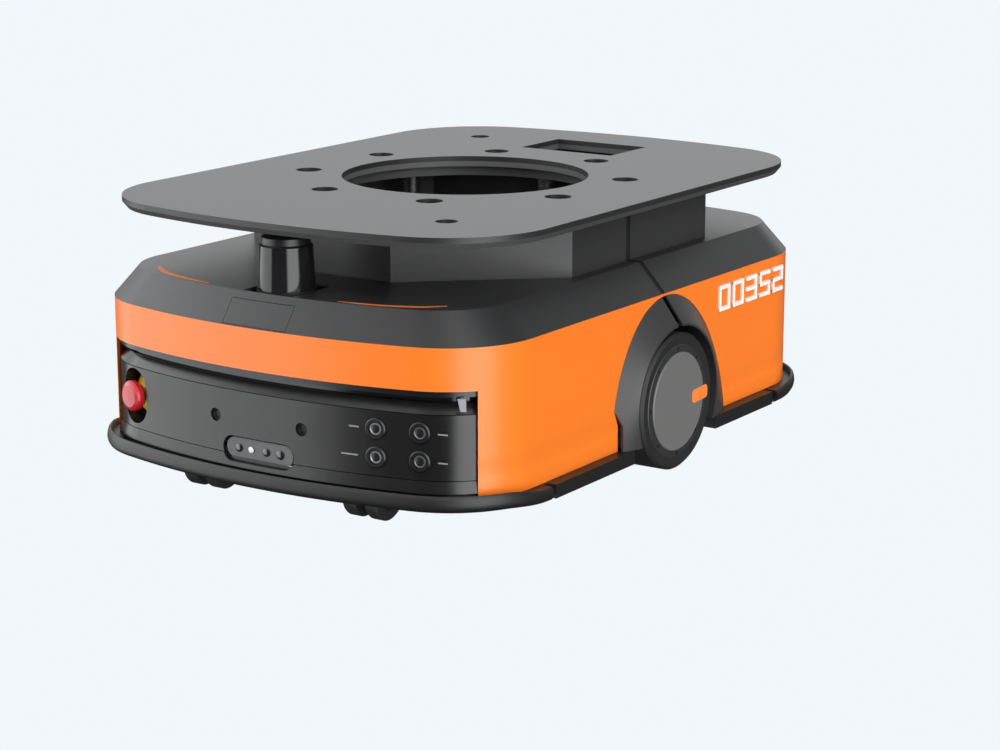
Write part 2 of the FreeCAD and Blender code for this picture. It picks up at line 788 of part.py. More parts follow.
def control_panel():
    """Moulded front panel with the cut-outs for everything that is fitted in it."""
    plate = panel_band("front_control_panel", -1, S["kick_top"] + S["shut_line"],
                       S["sill_bottom"] - S["shut_line"], S["panel_inset"],
                       S["panel_inset"] + S["panel_wall"])
    holes = []
    for title, across, up in button_seats():
        holes.append(seated(cylinder(f"{title}_hole", S["bezel_radius"] - 1.5, 24),
                            across, up, 12))
    for side in (-1, 1):
        holes.append(seated(cylinder(f"ultrasonic_hole_{side + 1}", S["ultrasonic_radius"], 24),
                            S["ultrasonic_across"] * side, S["ultrasonic_up"], 12))
    holes.append(seated(pill("dish_hole", S["dish_half_width"], S["dish_half_height"], 40),
                        S["estop_across"], S["estop_up"], 20))
    holes.append(seated(pill("camera_hole", S["camera_half_width"], S["camera_half_height"], 24),
                        0, S["camera_up"], 12))
    return node("front_control_panel", cut("front_control_panel", plate, holes))


def front_strips():
    """Bezel under the painted edge, dark slot window, sloping sill and lower kick strip."""
    node("front_bezel", panel_band("front_bezel", -1, S["slot_top"], S["recess_top"] - 0.4,
                                   S["panel_inset"], S["slot_inset"] + 6))
    node("slot_window", panel_band("slot_window", -1, S["slot_bottom"] - 6, S["slot_top"] - 0.4,
                                   S["slot_inset"] + 1.5, S["slot_inset"] + 4.5))
    sill = tapered_ring("front_sill_band", S["sill_bottom"], inset(body_outline, S["panel_inset"]),
                        S["slot_bottom"], inset(body_outline, S["sill_inset"]), S["panel_wall"] - 1)
    node("front_sill", common("front_sill", sill, end_trim("front_sill_ends", -1)))
    kick = tapered_ring("front_kick_band", S["kick_bottom"], inset(body_outline, 1),
                        S["kick_top"], inset(body_outline, S["panel_inset"]), S["panel_wall"])
    whole = common("front_kick_whole", kick, end_trim("front_kick_ends", -1))
    notch = seated(pill("camera_notch", S["camera_half_width"] + 1, S["camera_half_height"] + 1, 24),
                   0, S["camera_up"], 12)
    node("front_kick_strip", cut("front_kick_strip", whole, [notch]))


def rear_panel():
    """Plain rear panel with a window for the charging contacts."""
    plate = panel_band("rear_panel_plate", 1, S["kick_bottom"], S["recess_top"] - 0.4,
                       S["panel_inset"], S["panel_inset"] + S["panel_wall"])
    window = box("charge_window", (-62, 300, 74), (62, far, 106))
    return node("rear_panel", cut("rear_panel", plate, [window]))


def charge_contacts():
    """Insulating block with two brass strips for the docking charger."""
    carrier = box("charge_carrier", (-61, 346, 75), (61, 365, 105))
    grooves = [box(f"charge_groove_{index}", (-55, 361, low), (55, 366, low + 8))
               for index, low in enumerate((79, 93))]
    strips = [box(f"charge_strip_{index}", (-54.8, 361.1, low + 0.2), (54.8, 367, low + 7.8))
              for index, low in enumerate((79, 93))]
    node("charge_contacts", group("charge_contacts", [cut("charge_block", carrier, grooves)] + strips))


# ---------------------------------------------------------------- push buttons and emergency stop

def button_seats():
    seats = []
    for row, up in (("upper", S["button_high"]), ("lower", S["button_low"])):
        for column, across in (("inner", S["button_inner"]), ("outer", S["button_outer"])):
            seats.append((f"{row}_{column}_button", across, up))
    return seats


def push_buttons():
    """Sprung caps with a metal rim, and the threaded housings that hold them in the panel."""
    housings = []
    radius = S["button_radius"]
    bore = S["button_bore"]
    bezel = S["bezel_radius"]
    shank = bezel - 1.7
    for title, across, up in button_seats():
        cap = turned(title, [(zero, 0), (radius, 0), (radius, 15.5), (radius - 1, 16.5),
                             (radius - 2, 16.5), (radius - 2.6, 15.6), (zero, 15.6)], (0, 0, 0))
        node(title, seated(cap, across, up, 15))
        holder = turned(title + "_housing",
                        [(bore, -5), (shank, -5), (shank, 15.02), (bezel, 15.02), (bezel, 16.4),
                         (bezel - 1.2, 17.4), (bore, 17.4)], (0, 0, 0))
        housings.append(seated(holder, across, up, 15))
    node("button_housings", group("button_housings", housings))


def emergency_stop():
    """Mushroom head on a sliding stem, yellow collar, black dish and contact block."""
    across, up = S["estop_across"], S["estop_up"]
    head_radius = S["estop_head_radius"]
    stem = S["estop_stem_radius"]
    dish = pill("estop_dish_outer", S["dish_half_width"] + 2.2, S["dish_half_height"] + 2.2, 40)
    bowl = pill("estop_dish_inner", S["dish_half_width"], S["dish_half_height"], 40)
    seated(dish, across, up, 22)
    seated(bowl, across, up, 19.5)
    bore = seated(cylinder("estop_bore", stem + 0.06, 60), across, up, 50)
    contact = seated(cylinder("estop_contact_block", 15, 20), across, up, 41.9)
    inside = block("estop_inside", inset(body_outline, S["panel_inset"] + S["panel_wall"] + 0.2), zero, far)
    rim = common("estop_dish_rim", cut("estop_dish_bowl", dish, [bowl]), inside)
    node("estop_dish", cut("estop_dish", fuse("estop_dish_and_block", [rim, contact]), [bore]))
    collar = turned("estop_collar", [(stem + 0.5, 0), (S["estop_collar_radius"], 0),
                                     (S["estop_collar_radius"], 2), (14, 4), (stem + 0.5, 4)], (0, 0, 0))
    node("estop_collar", seated(collar, across, up, 19.3))
    shaft = turned("estop_stem", [(zero, 0), (stem, 0), (stem, 26), (zero, 26)], (0, 0, 0))
    node("estop_stem", seated(shaft, across, up, 33))
    head = turned("estop_head",
                  [(zero, 0), (12, 0), (13.5, 3), (head_radius, 6), (head_radius, 10.5),
                   (head_radius - 1.5, 13), (head_radius - 5, 14.6), (zero, 15.4)], (0, 0, 0))
    node("estop_head", seated(head, across, up, 6.7))


# ---------------------------------------------------------------- sensors

def depth_camera():
    """Round-ended camera body that looks out through the panel, with four lens seats."""
    shell = seated(pill("camera_body", S["camera_half_width"] - 3, S["camera_half_height"] - 2.2, 22),
                   0, S["camera_up"], 26)
    lenses = [seated(cylinder(f"camera_lens_{index}", 4.2, 3), across, S["camera_up"], 5.4)
              for index, across in enumerate((-27, -11, 9, 27))]
    tray = seated(pill("camera_tray", S["camera_half_width"] + 4, S["camera_half_height"] + 4, 4),
                  0, S["camera_up"], 29.2)
    return node("depth_camera", fuse("depth_camera", [cut("camera_shell", shell, lenses), tray]))


def ultrasonic_sensors():
    sensors = []
    for side in (-1, 1):
        can = turned(f"ultrasonic_can_{side + 1}",
                     [(zero, 0), (8.5, 0), (8.5, 12), (6.6, 12), (6.6, 17), (5.2, 17), (4.4, 15), (zero, 15)],
                     (0, 0, 0))
        sensors.append(seated(can, S["ultrasonic_across"] * side, S["ultrasonic_up"], 19.5))
    return node("ultrasonic_sensors", group("ultrasonic_sensors", sensors))


def laser_scanner():
    """Scanner under the platform's front edge: square base, conical window, cap and rotor."""
    along = S["lidar_along"]
    half = S["lidar_base_half"] - 1
    seat = S["deck_top"] - 9
    plate = centred_box("lidar_plate", (zero, along), half, half, seat, seat + 4)
    drum = cylinder("lidar_drum", S["lidar_radius"] + 0.5, 6, (zero, along, seat + 4))
    bearing = cylinder("lidar_bearing", 9, 14, (zero, along, seat + 2))
    journal = cylinder("lidar_journal", 5.05, 20, (zero, along, seat + 4))
    node("lidar_base", cut("lidar_base", fuse("lidar_base_solid", [plate, drum, bearing]), [journal]))
    low = seat + 10.2
    height = S["lidar_window_top"] - low
    outer = cone("lidar_window_outer", S["lidar_radius"], S["lidar_top_radius"], height, (zero, along, low))
    inner = cone("lidar_window_inner", S["lidar_radius"] - 2, S["lidar_top_radius"] - 2, height,
                 (zero, along, low))
    node("lidar_window", cut("lidar_window", outer, [inner]))
    cap = S["lidar_cap_radius"]
    rise = S["lidar_cap_top"] - S["lidar_window_top"]
    node("lidar_cap", turned("lidar_cap",
                             [(zero, -3), (cap - 2.3, -3), (cap - 2.3, 0.1), (cap + 1.5, 0.1), (cap, 2),
                              (cap - 0.6, rise - 1.5), (cap - 2.5, rise), (zero, rise)],
                             (zero, along, S["lidar_window_top"])))
    node("lidar_rotor", turned("lidar_rotor",
                               [(zero, 0), (5, 0), (5, 13), (21, 16), (21, 36), (12, 42), (zero, 42)],
                               (zero, along, seat + 5)))


def load_camera():
    """Upward camera and its lamps behind the tower, under the window in the platform."""
    middle = (S["window_near"] + S["window_far"]) / 2
    case = centred_box("load_camera_case", (zero, middle), 56, 30, S["deck_top"] + 0.2, 262)
    lens = cylinder("load_camera_lens", 11, 9, (zero, middle, 262))
    hole = cylinder("load_camera_glass", 8, 5, (zero, middle, 267))
    lamps = [cylinder(f"load_camera_lamp_{side + 1}", 7, 4, (34 * side, middle, 262)) for side in (-1, 1)]
    return node("load_camera", cut("load_camera", fuse("load_camera_solid", [case, lens] + lamps), [hole]))


def access_cover():
    """Flush cover on the front slope that closes the service sockets."""
    slope = cut("access_slope", deck_shell_copy("access_outer", -0.9), [deck_shell_copy("access_inner", 1.6)])
    window = box("access_window", (-40, -far, 195), (40, -330, 218))
    return node("access_cover", common("access_cover", slope, window))


def deck_shell_copy(name, shift):
    owner = body(name)
    lower = sketch(owner, name + "_low", "XY_Plane", S["body_top"])
    draw_bowed_outline(lower, inset(body_outline, shift + 0.9), "low")
    upper = sketch(owner, name + "_high", "XY_Plane", S["deck_top"])
    draw_bowed_outline(upper, inset(deck_outline, shift + 0.9), "high")
    loft(owner, lower, upper)
    return owner


# ---------------------------------------------------------------- inner units

def battery():
    case = box("battery_case", (-88, -128, base_top + 0.2), (88, 128, 168))
    grips = [box(f"battery_grip_{side + 1}", (-40, 128 * side - 6, 146), (40, 128 * side + 6, 170))
             for side in (-1, 1)]
    return node("battery", cut("battery", case, grips))


def finned_box(name, front, rear, top):
    """Die-cast electronics box with cooling fins along its top."""
    case = box(name + "_case", (-120, front, base_top + 0.2), (120, rear, top))
    gaps = [box(f"{name}_gap_{index}", (-110 + 20 * index, front - 2, top - 10),
                (-100 + 20 * index, rear + 2, top + 2)) for index in range(11)]
    return cut(name, case, gaps)


def control_units():
    """The navigation computer in front and the motor controller behind."""
    return node("control_units", group("control_units", [finned_box("computer", -286, -206, 150),
                                                         finned_box("controller", 206, 286, 130)]))


# ---------------------------------------------------------------- lift

def lift_guide():
    """Bridge over the battery that holds the four guide bushes and the actuator heads."""
    top = S["guide_plate_top"]
    plate = box("guide_deck", (-188, -200, top - 8), (188, 190, top))
    legs = [box(f"guide_leg_{side + 1}", (186 * side - 4, -150, base_top + 0.2), (186 * side + 4, 150, top - 4))
            for side in (-1, 1)]
    arches = box("guide_leg_arch", (-200, -70, zero), (200, 70, 150))
    bushes = []
    bores = []
    for x in (-1, 1):
        for y in (-1, 1):
            where = (S["post_across"] * x, S["post_along"] * y)
            bushes.append(cylinder(f"guide_bush_{x + 1}_{y + 1}", S["post_radius"] + 7, 62,
                                   (*where, top - 50)))
            bores.append(cylinder(f"guide_bore_{x + 1}_{y + 1}", S["post_radius"] + S["post_clearance"],
                                  200, (*where, 100)))
    for side in (-1, 1):
        bores.append(cylinder(f"actuator_seat_{side + 1}", S["actuator_radius"] + 0.4, 60,
                              (zero, S["actuator_along"] * side, top - 30)))
    bores.append(arches)
    return node("lift_guide", cut("lift_guide", fuse("lift_guide_solid", [plate] + legs + bushes), bores))


def lift_actuators():
    """Two electric cylinders, each with its geared motor beside the spindle tube."""
    units = []
    for side in (-1, 1):
        along = S["actuator_along"] * side
        tube = cylinder(f"actuator_tube_{side + 1}", S["actuator_radius"], 196 - number(base_top),
                        (zero, along, base_top + 0.2))
        motor = cylinder(f"actuator_motor_{side + 1}", 19, 70, (56, along, base_top + 0.2))
        link = box(f"actuator_gearbox_{side + 1}", (0, along - 20, base_top + 0.2),
                   (70, along + 20, base_top + 30))
        bore = cylinder(f"actuator_bore_{side + 1}", S["rod_radius"] + S["post_clearance"], 120,
                        (zero, along, 112))
        units.append(cut(f"actuator_unit_{side + 1}", fuse(f"actuator_solid_{side + 1}", [tube, motor, link]),
                         [bore]))
    return node("lift_actuators", group("lift_actuators", units))


def lift_columns():
    """The round steel bars under the lift frame: four guide posts and two actuator rods."""
    bars = [cylinder(f"lift_rod_{side + 1}", S["rod_radius"], lift_frame_bottom - 122,
                     (zero, S["actuator_along"] * side, 122)) for side in (-1, 1)]
    for x in (-1, 1):
        for y in (-1, 1):
            bars.append(cylinder(f"guide_post_{x + 1}_{y + 1}", S["post_radius"], lift_frame_bottom - 104,
                                 (S["post_across"] * x, S["post_along"] * y, 104)))
    return node("lift_columns", group("lift_columns", bars))


def lift_frame():
    """Stiff octagonal frame that is bolted under the platform round its centre hole."""
    corners = tower_corners(S["shell_wall"] + S["sleeve_gap"] + S["sleeve_wall"] + 0.3)
    plate = prism("lift_frame_blank", corners, lift_frame_bottom, plate_bottom)
    opening = cylinder("lift_frame_opening", S["centre_hole_radius"] + 10, 60, (0, 0, 250))
    bolts = [cylinder(f"lift_frame_bolt_{index}", S["bolt_hole_radius"] + 1, 60,
                      (S["bolt_circle_radius"] * math.cos(math.radians(22.5 + 45 * index)),
                       S["bolt_circle_radius"] * math.sin(math.radians(22.5 + 45 * index)), 250))
             for index in range(8)]
    return node("lift_frame", cut("lift_frame", plate, [opening] + bolts))


def lift_sleeve():
    """Thin inner wall that hangs from the platform and telescopes inside the tower."""
    shift = S["shell_wall"] + S["sleeve_gap"]
    outer = prism("lift_sleeve_outer", tower_corners(shift), S["sleeve_bottom"], plate_bottom)
    inner = prism("lift_sleeve_inner", tower_corners(shift + S["sleeve_wall"]), zero, far)
    return node("lift_sleeve", cut("lift_sleeve", outer, [inner]))


def platform_plate():
    """Load plate: bowed ends, bevelled under-edge, centre hole, bolt circle and window."""
    owner = body("platform_plate")
    rim = S["overall_height"] - S["plate_rim"]
    low = sketch(owner, "plate_under", "XY_Plane", plate_bottom)
    draw_bowed_outline(low, inset(plate_outline, S["plate_bevel"]), "edge")
    high = sketch(owner, "plate_rim_line", "XY_Plane", rim)
    draw_bowed_outline(high, plate_outline, "edge")
    loft(owner, low, high)
    top = sketch(owner, "plate_top", "XY_Plane", rim)
    draw_bowed_outline(top, plate_outline, "edge")
    pad(owner, top, S["plate_rim"])
    holes = sketch(owner, "plate_holes", "XY_Plane", S["overall_height"])
    draw_circle(holes, 0, 0, S["centre_hole_radius"], "centre")
    reach, span = S["locating_hole_across"], S["locating_hole_along"]
    draw_circle(holes, reach, -span, S["locating_hole_radius"], "locating_front")
    draw_circle(holes, -reach, span, S["locating_hole_radius"], "locating_rear")
    wide, near, edge = S["window_half_width"], S["window_near"], S["window_far"]
    draw_polygon(holes, [(-wide, near), (wide, near), (wide, edge), (-wide, edge)], "window")
    feature = owner.newObject("PartDesign::Pocket", "plate_openings")
    feature.Profile = holes
    bind(feature, "Length", S["plate_thickness"] + 1)
    first = sketch(owner, "plate_bolt_hole", "XY_Plane", S["overall_height"])
    turn = math.radians(22.5)
    draw_circle(first, S["bolt_circle_radius"] * math.cos(turn), S["bolt_circle_radius"] * math.sin(turn),
                S["bolt_hole_radius"], "bolt")
    bolt_hole = owner.newObject("PartDesign::Pocket", "bolt_hole")
    bolt_hole.Profile = first
    bind(bolt_hole, "Length", S["plate_thickness"] + 1)
    circle = owner.newObject("PartDesign::PolarPattern", "bolt_circle")
    circle.Originals = [bolt_hole]
    circle.Axis = (first, ["N_Axis"])
    circle.Angle = 360.0
    circle.Occurrences = 8
    owner.Tip = circle
    return node("platform_plate", owner)


# ---------------------------------------------------------------- drive wheels

def drive_wheel(side_name, side):
    """Solid tyre on a dished rim with a round hub cap, turned about the axle."""
    out = TO_PLUS_X if side > 0 else TO_MINUS_X
    inner = S["wheel_face"] - S["tyre_width"]
    along, axle = S["wheel_along"], S["wheel_radius"]
    where = (inner * side, along, axle)
    width = S["tyre_width"]
    tread = S["wheel_radius"]
    seat = S["tyre_inner_radius"]
    node(f"{side_name}_tyre", turned(f"{side_name}_tyre",
         [(seat, 2), (tread - 3, 0), (tread, 3), (tread, width - 3), (tread - 3, width), (seat, width - 1)],
         where, out))
    flange = seat - 0.02
    rim = turned(f"{side_name}_rim_blank",
                 [(zero, 20), (8, 20), (flange - 6, 20), (flange - 6, 3), (flange, 3), (flange, width - 1.2),
                  (flange - 1, width - 0.4), (zero, width - 0.4)], where, out)
    holes = [cylinder(f"{side_name}_rim_hole_{index}", 1.9, 6,
                      ((S["wheel_face"] - 5) * side, along + 57.8 * math.cos(math.radians(45 * index)),
                       axle + 57.8 * math.sin(math.radians(45 * index))), out)
             for index in range(8)]
    node(f"{side_name}_rim", cut(f"{side_name}_rim", rim, holes))
    cap = S["hub_cap_radius"]
    node(f"{side_name}_hub_cap", turned(f"{side_name}_hub_cap",
         [(zero, width - 0.4), (cap, width - 0.4), (cap, width + 0.5), (cap - 1, width + 1.5), (zero, width + 1.5)],
         where, out))


def drive_units():
    """Flat gearmotor inside each wheel: flange, gearbox, motor can and output shaft seat."""
    units = []
    for side in (-1, 1):
        out = TO_PLUS_X if side > 0 else TO_MINUS_X
        units.append(turned(f"drive_unit_{side + 1}",
                            [(zero, 0), (30, 0), (30, 62), (38, 62), (38, 96), (44, 96), (44, 104),
                             (20, 104), (20, 130), (zero, 130)],
                            (100 * side, S["wheel_along"], S["wheel_radius"]), out))
    return node("drive_motors", group("drive_motors", units))


# ---------------------------------------------------------------- casters

def caster(name, x, y):
    """Twin-wheel swivel caster: stem, top plate and arm between the wheels."""
    across, along = S["caster_across"] * x, S["caster_along"] * y
    axle_along = along - S["caster_trail"]
    radius = S["caster_radius"]
    top = S["frame_top"] - 0.4
    stem = cylinder(name + "_stem", 7.9, base_top - top + 10.4, (across, along, top - 8))
    head = cylinder(name + "_head", 19, 7.6, (across, along, top - 8))
    arm = box(name + "_arm", (across - 4, along - S["caster_trail"] - 8, radius - 8),
              (across + 4, along + 8, top - 8))
    boss = cylinder(name + "_boss", 9, 8, (across - 4, axle_along, radius), TO_PLUS_X)
    bore = cylinder(name + "_bore", 4.05, 40, (across - 20, axle_along, radius), TO_PLUS_X)
    slope = prism_yz(name + "_slope", [(along - S["caster_trail"] - 9, top - 9), (along - S["caster_trail"] - 9, 36),
                                       (along - 19, top - 9)], across - 5, across + 5)
    fork = cut(name + "_fork", fuse(name + "_fork_solid", [stem, head, arm, boss]), [bore, slope])
    node(name + "_fork", fork)
    halves = []
    for side in (-1, 1):
        direction = TO_PLUS_X if side > 0 else TO_MINUS_X
        halves.append(turned(f"{name}_wheel_{side + 1}",
                             [(zero, 4.4), (8, 4.4), (8, 6), (radius - 2, 6), (radius, 8), (radius, 20),
                              (radius - 2, 22), (14, 22), (12, 20), (zero, 20)],
                             (across, axle_along, radius), direction))
    axle = cylinder(name + "_axle", 4, 16, (across - 8, axle_along, radius), TO_PLUS_X)
    node(name + "_wheels", fuse(name + "_wheels", halves + [axle]))


def prism_yz(name, corners, low, high):
    owner = body(name)
    drawing = sketch(owner, name + "_side", "YZ_Plane", low)
    draw_polygon(drawing, corners, "corner")
    pad(owner, drawing, as_size(high) - low)
    return owner


# ---------------------------------------------------------------- the whole robot

chassis_frame()
base_plate()
body_shell("front_body_shell", -far, -S["body_gap"] / 2, -far, -250)
body_shell("rear_body_shell", S["body_gap"] / 2, far, 250, far)

shell = deck_shell()
tower_opening = prism("tower_opening", tower_corners(S["shell_wall"]), zero, far)
lidar_opening = centred_box("lidar_opening", (zero, S["lidar_along"]), S["lidar_base_half"],
                            S["lidar_base_half"], 200, far)
access_opening = box("access_opening", (-40.5, -far, 194.5), (40.5, -330, 218.5))
deck_cover("front_deck_cover", shell, -far, -half_seam, [tower_opening, lidar_opening, access_opening])
deck_cover("rear_deck_cover", shell, half_seam, far, [tower_opening])
tower_cover("front_tower_cover", -far, -half_seam)
tower_cover("rear_tower_cover", half_seam, far)
seam_strip()
node("wheel_arches", group("wheel_arches", [wheel_arch("left_arch", 1), wheel_arch("right_arch", -1)]))
side_skirts()
bumper("front_bumper", -1)
bumper("rear_bumper", 1)
control_panel()
front_strips()
rear_panel()
charge_contacts()
push_buttons()
emergency_stop()
depth_camera()
ultrasonic_sensors()
laser_scanner()
load_camera()
access_cover()
battery()
control_units()
lift_guide()
lift_actuators()
lift_columns()
lift_frame()
lift_sleeve()
platform_plate()
drive_wheel("left", 1)
drive_wheel("right", -1)
drive_units()
caster("front_left_caster", 1, -1)
caster("front_right_caster", -1, -1)
caster("rear_left_caster", 1, 1)
caster("rear_right_caster", -1, 1)

doc.recompute()

for item in doc.Objects:
    if "Invalid" in item.State or "Error" in item.State:
        raise RuntimeError(f"{item.Name} failed: {item.State}")

os.makedirs("parts", exist_ok=True)
for name, piece in nodes.items():
    shape = piece.Shape
    if shape.isNull() or not shape.isValid() or not shape.Solids:
        raise RuntimeError(f"{name} has no valid solid")
    print(f"{name:24s} {len(shape.Solids)} solids {len(shape.Faces):4d} faces {shape.Volume / 1000:9.1f} cm3")
for name, piece in nodes.items():
    piece.Shape.exportStep(f"parts/{name}.step")
print(len(nodes), "nodes")
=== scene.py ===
import bpy
import bmesh
import math
from mathutils import Matrix, Vector


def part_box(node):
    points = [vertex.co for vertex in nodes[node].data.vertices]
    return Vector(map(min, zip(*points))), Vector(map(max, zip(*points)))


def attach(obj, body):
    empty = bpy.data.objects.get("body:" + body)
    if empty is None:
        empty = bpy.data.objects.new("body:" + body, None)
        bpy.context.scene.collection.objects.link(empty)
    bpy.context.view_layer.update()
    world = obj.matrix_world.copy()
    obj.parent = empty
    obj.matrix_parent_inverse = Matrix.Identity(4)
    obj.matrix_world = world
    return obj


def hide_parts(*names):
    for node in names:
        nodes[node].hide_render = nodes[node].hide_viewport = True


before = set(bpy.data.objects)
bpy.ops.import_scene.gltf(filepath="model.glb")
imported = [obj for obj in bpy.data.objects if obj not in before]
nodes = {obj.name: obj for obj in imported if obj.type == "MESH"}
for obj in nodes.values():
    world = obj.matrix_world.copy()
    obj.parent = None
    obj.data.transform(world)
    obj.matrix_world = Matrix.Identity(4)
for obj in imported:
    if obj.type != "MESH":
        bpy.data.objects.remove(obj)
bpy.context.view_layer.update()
bpy.ops.object.select_all(action="DESELECT")


# ------------------------------------------------------------------ camera, light and floor
# A low three-quarter view of the robot's front and left side on a pale seamless floor,
# between two tall soft walls of light, with one broad soft box overhead.

bpy.ops.object.camera_add(location=(1.5559, -2.2649, 0.7341),
                          rotation=(math.radians(76.412), 0, math.radians(33.677)))
camera = bpy.context.object
camera.name = "studio_camera"
camera.data.lens = 89.55
camera.data.sensor_width = 36
bpy.context.scene.camera = camera

bpy.ops.object.light_add(type="AREA", location=(-0.3, 0.4, 3.0))
overhead_box = bpy.context.object
overhead_box.name = "overhead_box"
overhead_box.data.shape = "RECTANGLE"
overhead_box.data.size = 2.2
overhead_box.data.size_y = 2.2
overhead_box.data.energy = 14
overhead_aim = Vector((0, 0, 0.2)) - Vector((-0.3, 0.4, 3.0))
overhead_box.rotation_euler = overhead_aim.to_track_quat("-Z", "Y").to_euler()
bpy.context.scene.view_settings.view_transform = "Standard"

world = bpy.data.worlds.new("studio")
bpy.context.scene.world = world
world.use_nodes = True
room = world.node_tree
room_place = room.nodes.new("ShaderNodeTexCoord")
room_split = room.nodes.new("ShaderNodeSeparateXYZ")
room_flat = room.nodes.new("ShaderNodeVectorMath")
room_flat.operation = "MULTIPLY"
room_flat.inputs[1].default_value = (1, 1, 0)
room_ring = room.nodes.new("ShaderNodeVectorMath")
room_ring.operation = "NORMALIZE"
room.links.new(room_place.outputs["Generated"], room_split.inputs["Vector"])
room.links.new(room_place.outputs["Generated"], room_flat.inputs[0])
room.links.new(room_flat.outputs["Vector"], room_ring.inputs[0])


def fade(value, low, high, start, end):
    """A soft step of the room's brightness from one level to another."""
    step = room.nodes.new("ShaderNodeMapRange")
    step.interpolation_type = "SMOOTHSTEP"
    step.inputs["From Min"].default_value = low
    step.inputs["From Max"].default_value = high
    step.inputs["To Min"].default_value = start
    step.inputs["To Max"].default_value = end
    room.links.new(value, step.inputs["Value"])
    return step.outputs["Result"]


def combine(operation, first, second):
    """Adds or multiplies two brightness values of the room."""
    joint = room.nodes.new("ShaderNodeMath")
    joint.operation = operation
    room.links.new(first, joint.inputs[0])
    room.links.new(second, joint.inputs[1])
    return joint.outputs["Value"]


def wall_light(turn, full, edge, bottom, bottom_full, top_full, top, top_level, power):
    """A tall soft wall light: where it stands round the robot, how wide and how high it is."""
    facing = room.nodes.new("ShaderNodeVectorMath")
    facing.operation = "DOT_PRODUCT"
    facing.inputs[1].default_value = (math.cos(math.radians(turn)), math.sin(math.radians(turn)), 0)
    room.links.new(room_ring.outputs["Vector"], facing.inputs[0])
    wide = fade(facing.outputs["Value"], math.cos(math.radians(edge)), math.cos(math.radians(full)),
                0, power)
    rise = fade(room_split.outputs["Z"], bottom, bottom_full, 0, 1)
    fall = fade(room_split.outputs["Z"], top_full, top, 1, top_level)
    return combine("MULTIPLY", wide, combine("MULTIPLY", rise, fall))


# turns in degrees round the robot; heights are the upward part of the direction, from -1 to 1
left_wall = wall_light(-149, 31, 39, -0.60, -0.32, 0.42, 0.82, 0.30, 2.3)
right_wall = wall_light(-24, 17, 29, -0.55, -0.30, 0.50, 0.85, 0.25, 4.2)
back_wall = wall_light(142, 46, 74, -0.02, 0.12, 0.90, 1.00, 0.90, 1.02)
front_top = wall_light(-60, 60, 90, 0.35, 0.75, 0.98, 1.00, 0.90, 0.55)
room_level = combine("ADD", combine("ADD", left_wall, right_wall), combine("ADD", back_wall, front_top))
room_base = fade(room_split.outputs["Z"], -0.5, 0.1, 0.08, 0.15)
room.links.new(combine("ADD", room_level, room_base), room.nodes["Background"].inputs["Strength"])
room.nodes["Background"].inputs["Color"].default_value = (0.98, 0.99, 1.0, 1)

bpy.ops.mesh.primitive_circle_add(vertices=96, radius=14, fill_type="NGON", location=(0, 0, 0))
floor = bpy.context.object
floor.name = "studio_floor"
floor.visible_glossy = False
floor.visible_diffuse = False
floor.visible_transmission = False
floor_paint = bpy.data.materials.new("floor_paint")
floor_paint.use_nodes = True
floor_shader = floor_paint.node_tree.nodes["Principled BSDF"]
floor_shader.inputs["Base Color"].default_value = (0.0, 0.0, 0.0, 1)
floor_shader.inputs["Roughness"].default_value = 1.0
floor_shader.inputs["Specular IOR Level"].default_value = 0.0
floor_shader.inputs["Emission Color"].default_value = (0.879, 0.930, 0.956, 1)
floor_shader.inputs["Emission Strength"].default_value = 1.0
floor.data.materials.append(floor_paint)


# ------------------------------------------------------------------ painted body shells
# The orange band round the robot: two moulded halves, sprayed in satin orange, that clip to
# the floor pan and meet at the wheel arches. The lower side has a shallow pressed crease.

def new_group(name, inputs, outputs):
    """An empty shader node group with named inputs, given as name: default, and outputs."""
    tree = bpy.data.node_groups.new(name, "ShaderNodeTree")
    for label, value in inputs.items():
        kind = "NodeSocketColor" if isinstance(value, tuple) else "NodeSocketFloat"
        tree.interface.new_socket(label, in_out="INPUT", socket_type=kind).default_value = value
    for label, kind in outputs.items():
        tree.interface.new_socket(label, in_out="OUTPUT", socket_type=kind)
    return tree, tree.nodes.new("NodeGroupInput"), tree.nodes.new("NodeGroupOutput")


# fine skin: moulded or sprayed micro texture as a bump, and a slow drift in colour and gloss
skin, skin_in, skin_out = new_group(
    "fine_skin",
    {"Light": (0.5, 0.5, 0.5, 1), "Dark": (0.4, 0.4, 0.4, 1), "Drift Scale": 6.0, "Grain Scale": 900.0,
     "Grain Depth": 0.1, "Gloss Low": 0.3, "Gloss High": 0.45},
    {"Color": "NodeSocketColor", "Roughness": "NodeSocketFloat", "Normal": "NodeSocketVector"})
place = skin.nodes.new("ShaderNodeTexCoord")
drift = skin.nodes.new("ShaderNodeTexNoise")
drift.inputs["Detail"].default_value = 3
grain = skin.nodes.new("ShaderNodeTexNoise")
grain.inputs["Detail"].default_value = 2
blend = skin.nodes.new("ShaderNodeMix")
blend.data_type = "RGBA"
gloss = skin.nodes.new("ShaderNodeMapRange")
bump = skin.nodes.new("ShaderNodeBump")
bump.inputs["Distance"].default_value = 0.0004
skin.links.new(place.outputs["Object"], drift.inputs["Vector"])
skin.links.new(place.outputs["Object"], grain.inputs["Vector"])
skin.links.new(skin_in.outputs["Drift Scale"], drift.inputs["Scale"])
skin.links.new(skin_in.outputs["Grain Scale"], grain.inputs["Scale"])
skin.links.new(drift.outputs["Fac"], blend.inputs["Factor"])
skin.links.new(skin_in.outputs["Dark"], blend.inputs["A"])
skin.links.new(skin_in.outputs["Light"], blend.inputs["B"])
skin.links.new(blend.outputs["Result"], skin_out.inputs["Color"])
skin.links.new(grain.outputs["Fac"], gloss.inputs["Value"])
skin.links.new(skin_in.outputs["Gloss Low"], gloss.inputs["To Min"])
skin.links.new(skin_in.outputs["Gloss High"], gloss.inputs["To Max"])
skin.links.new(gloss.outputs["Result"], skin_out.inputs["Roughness"])
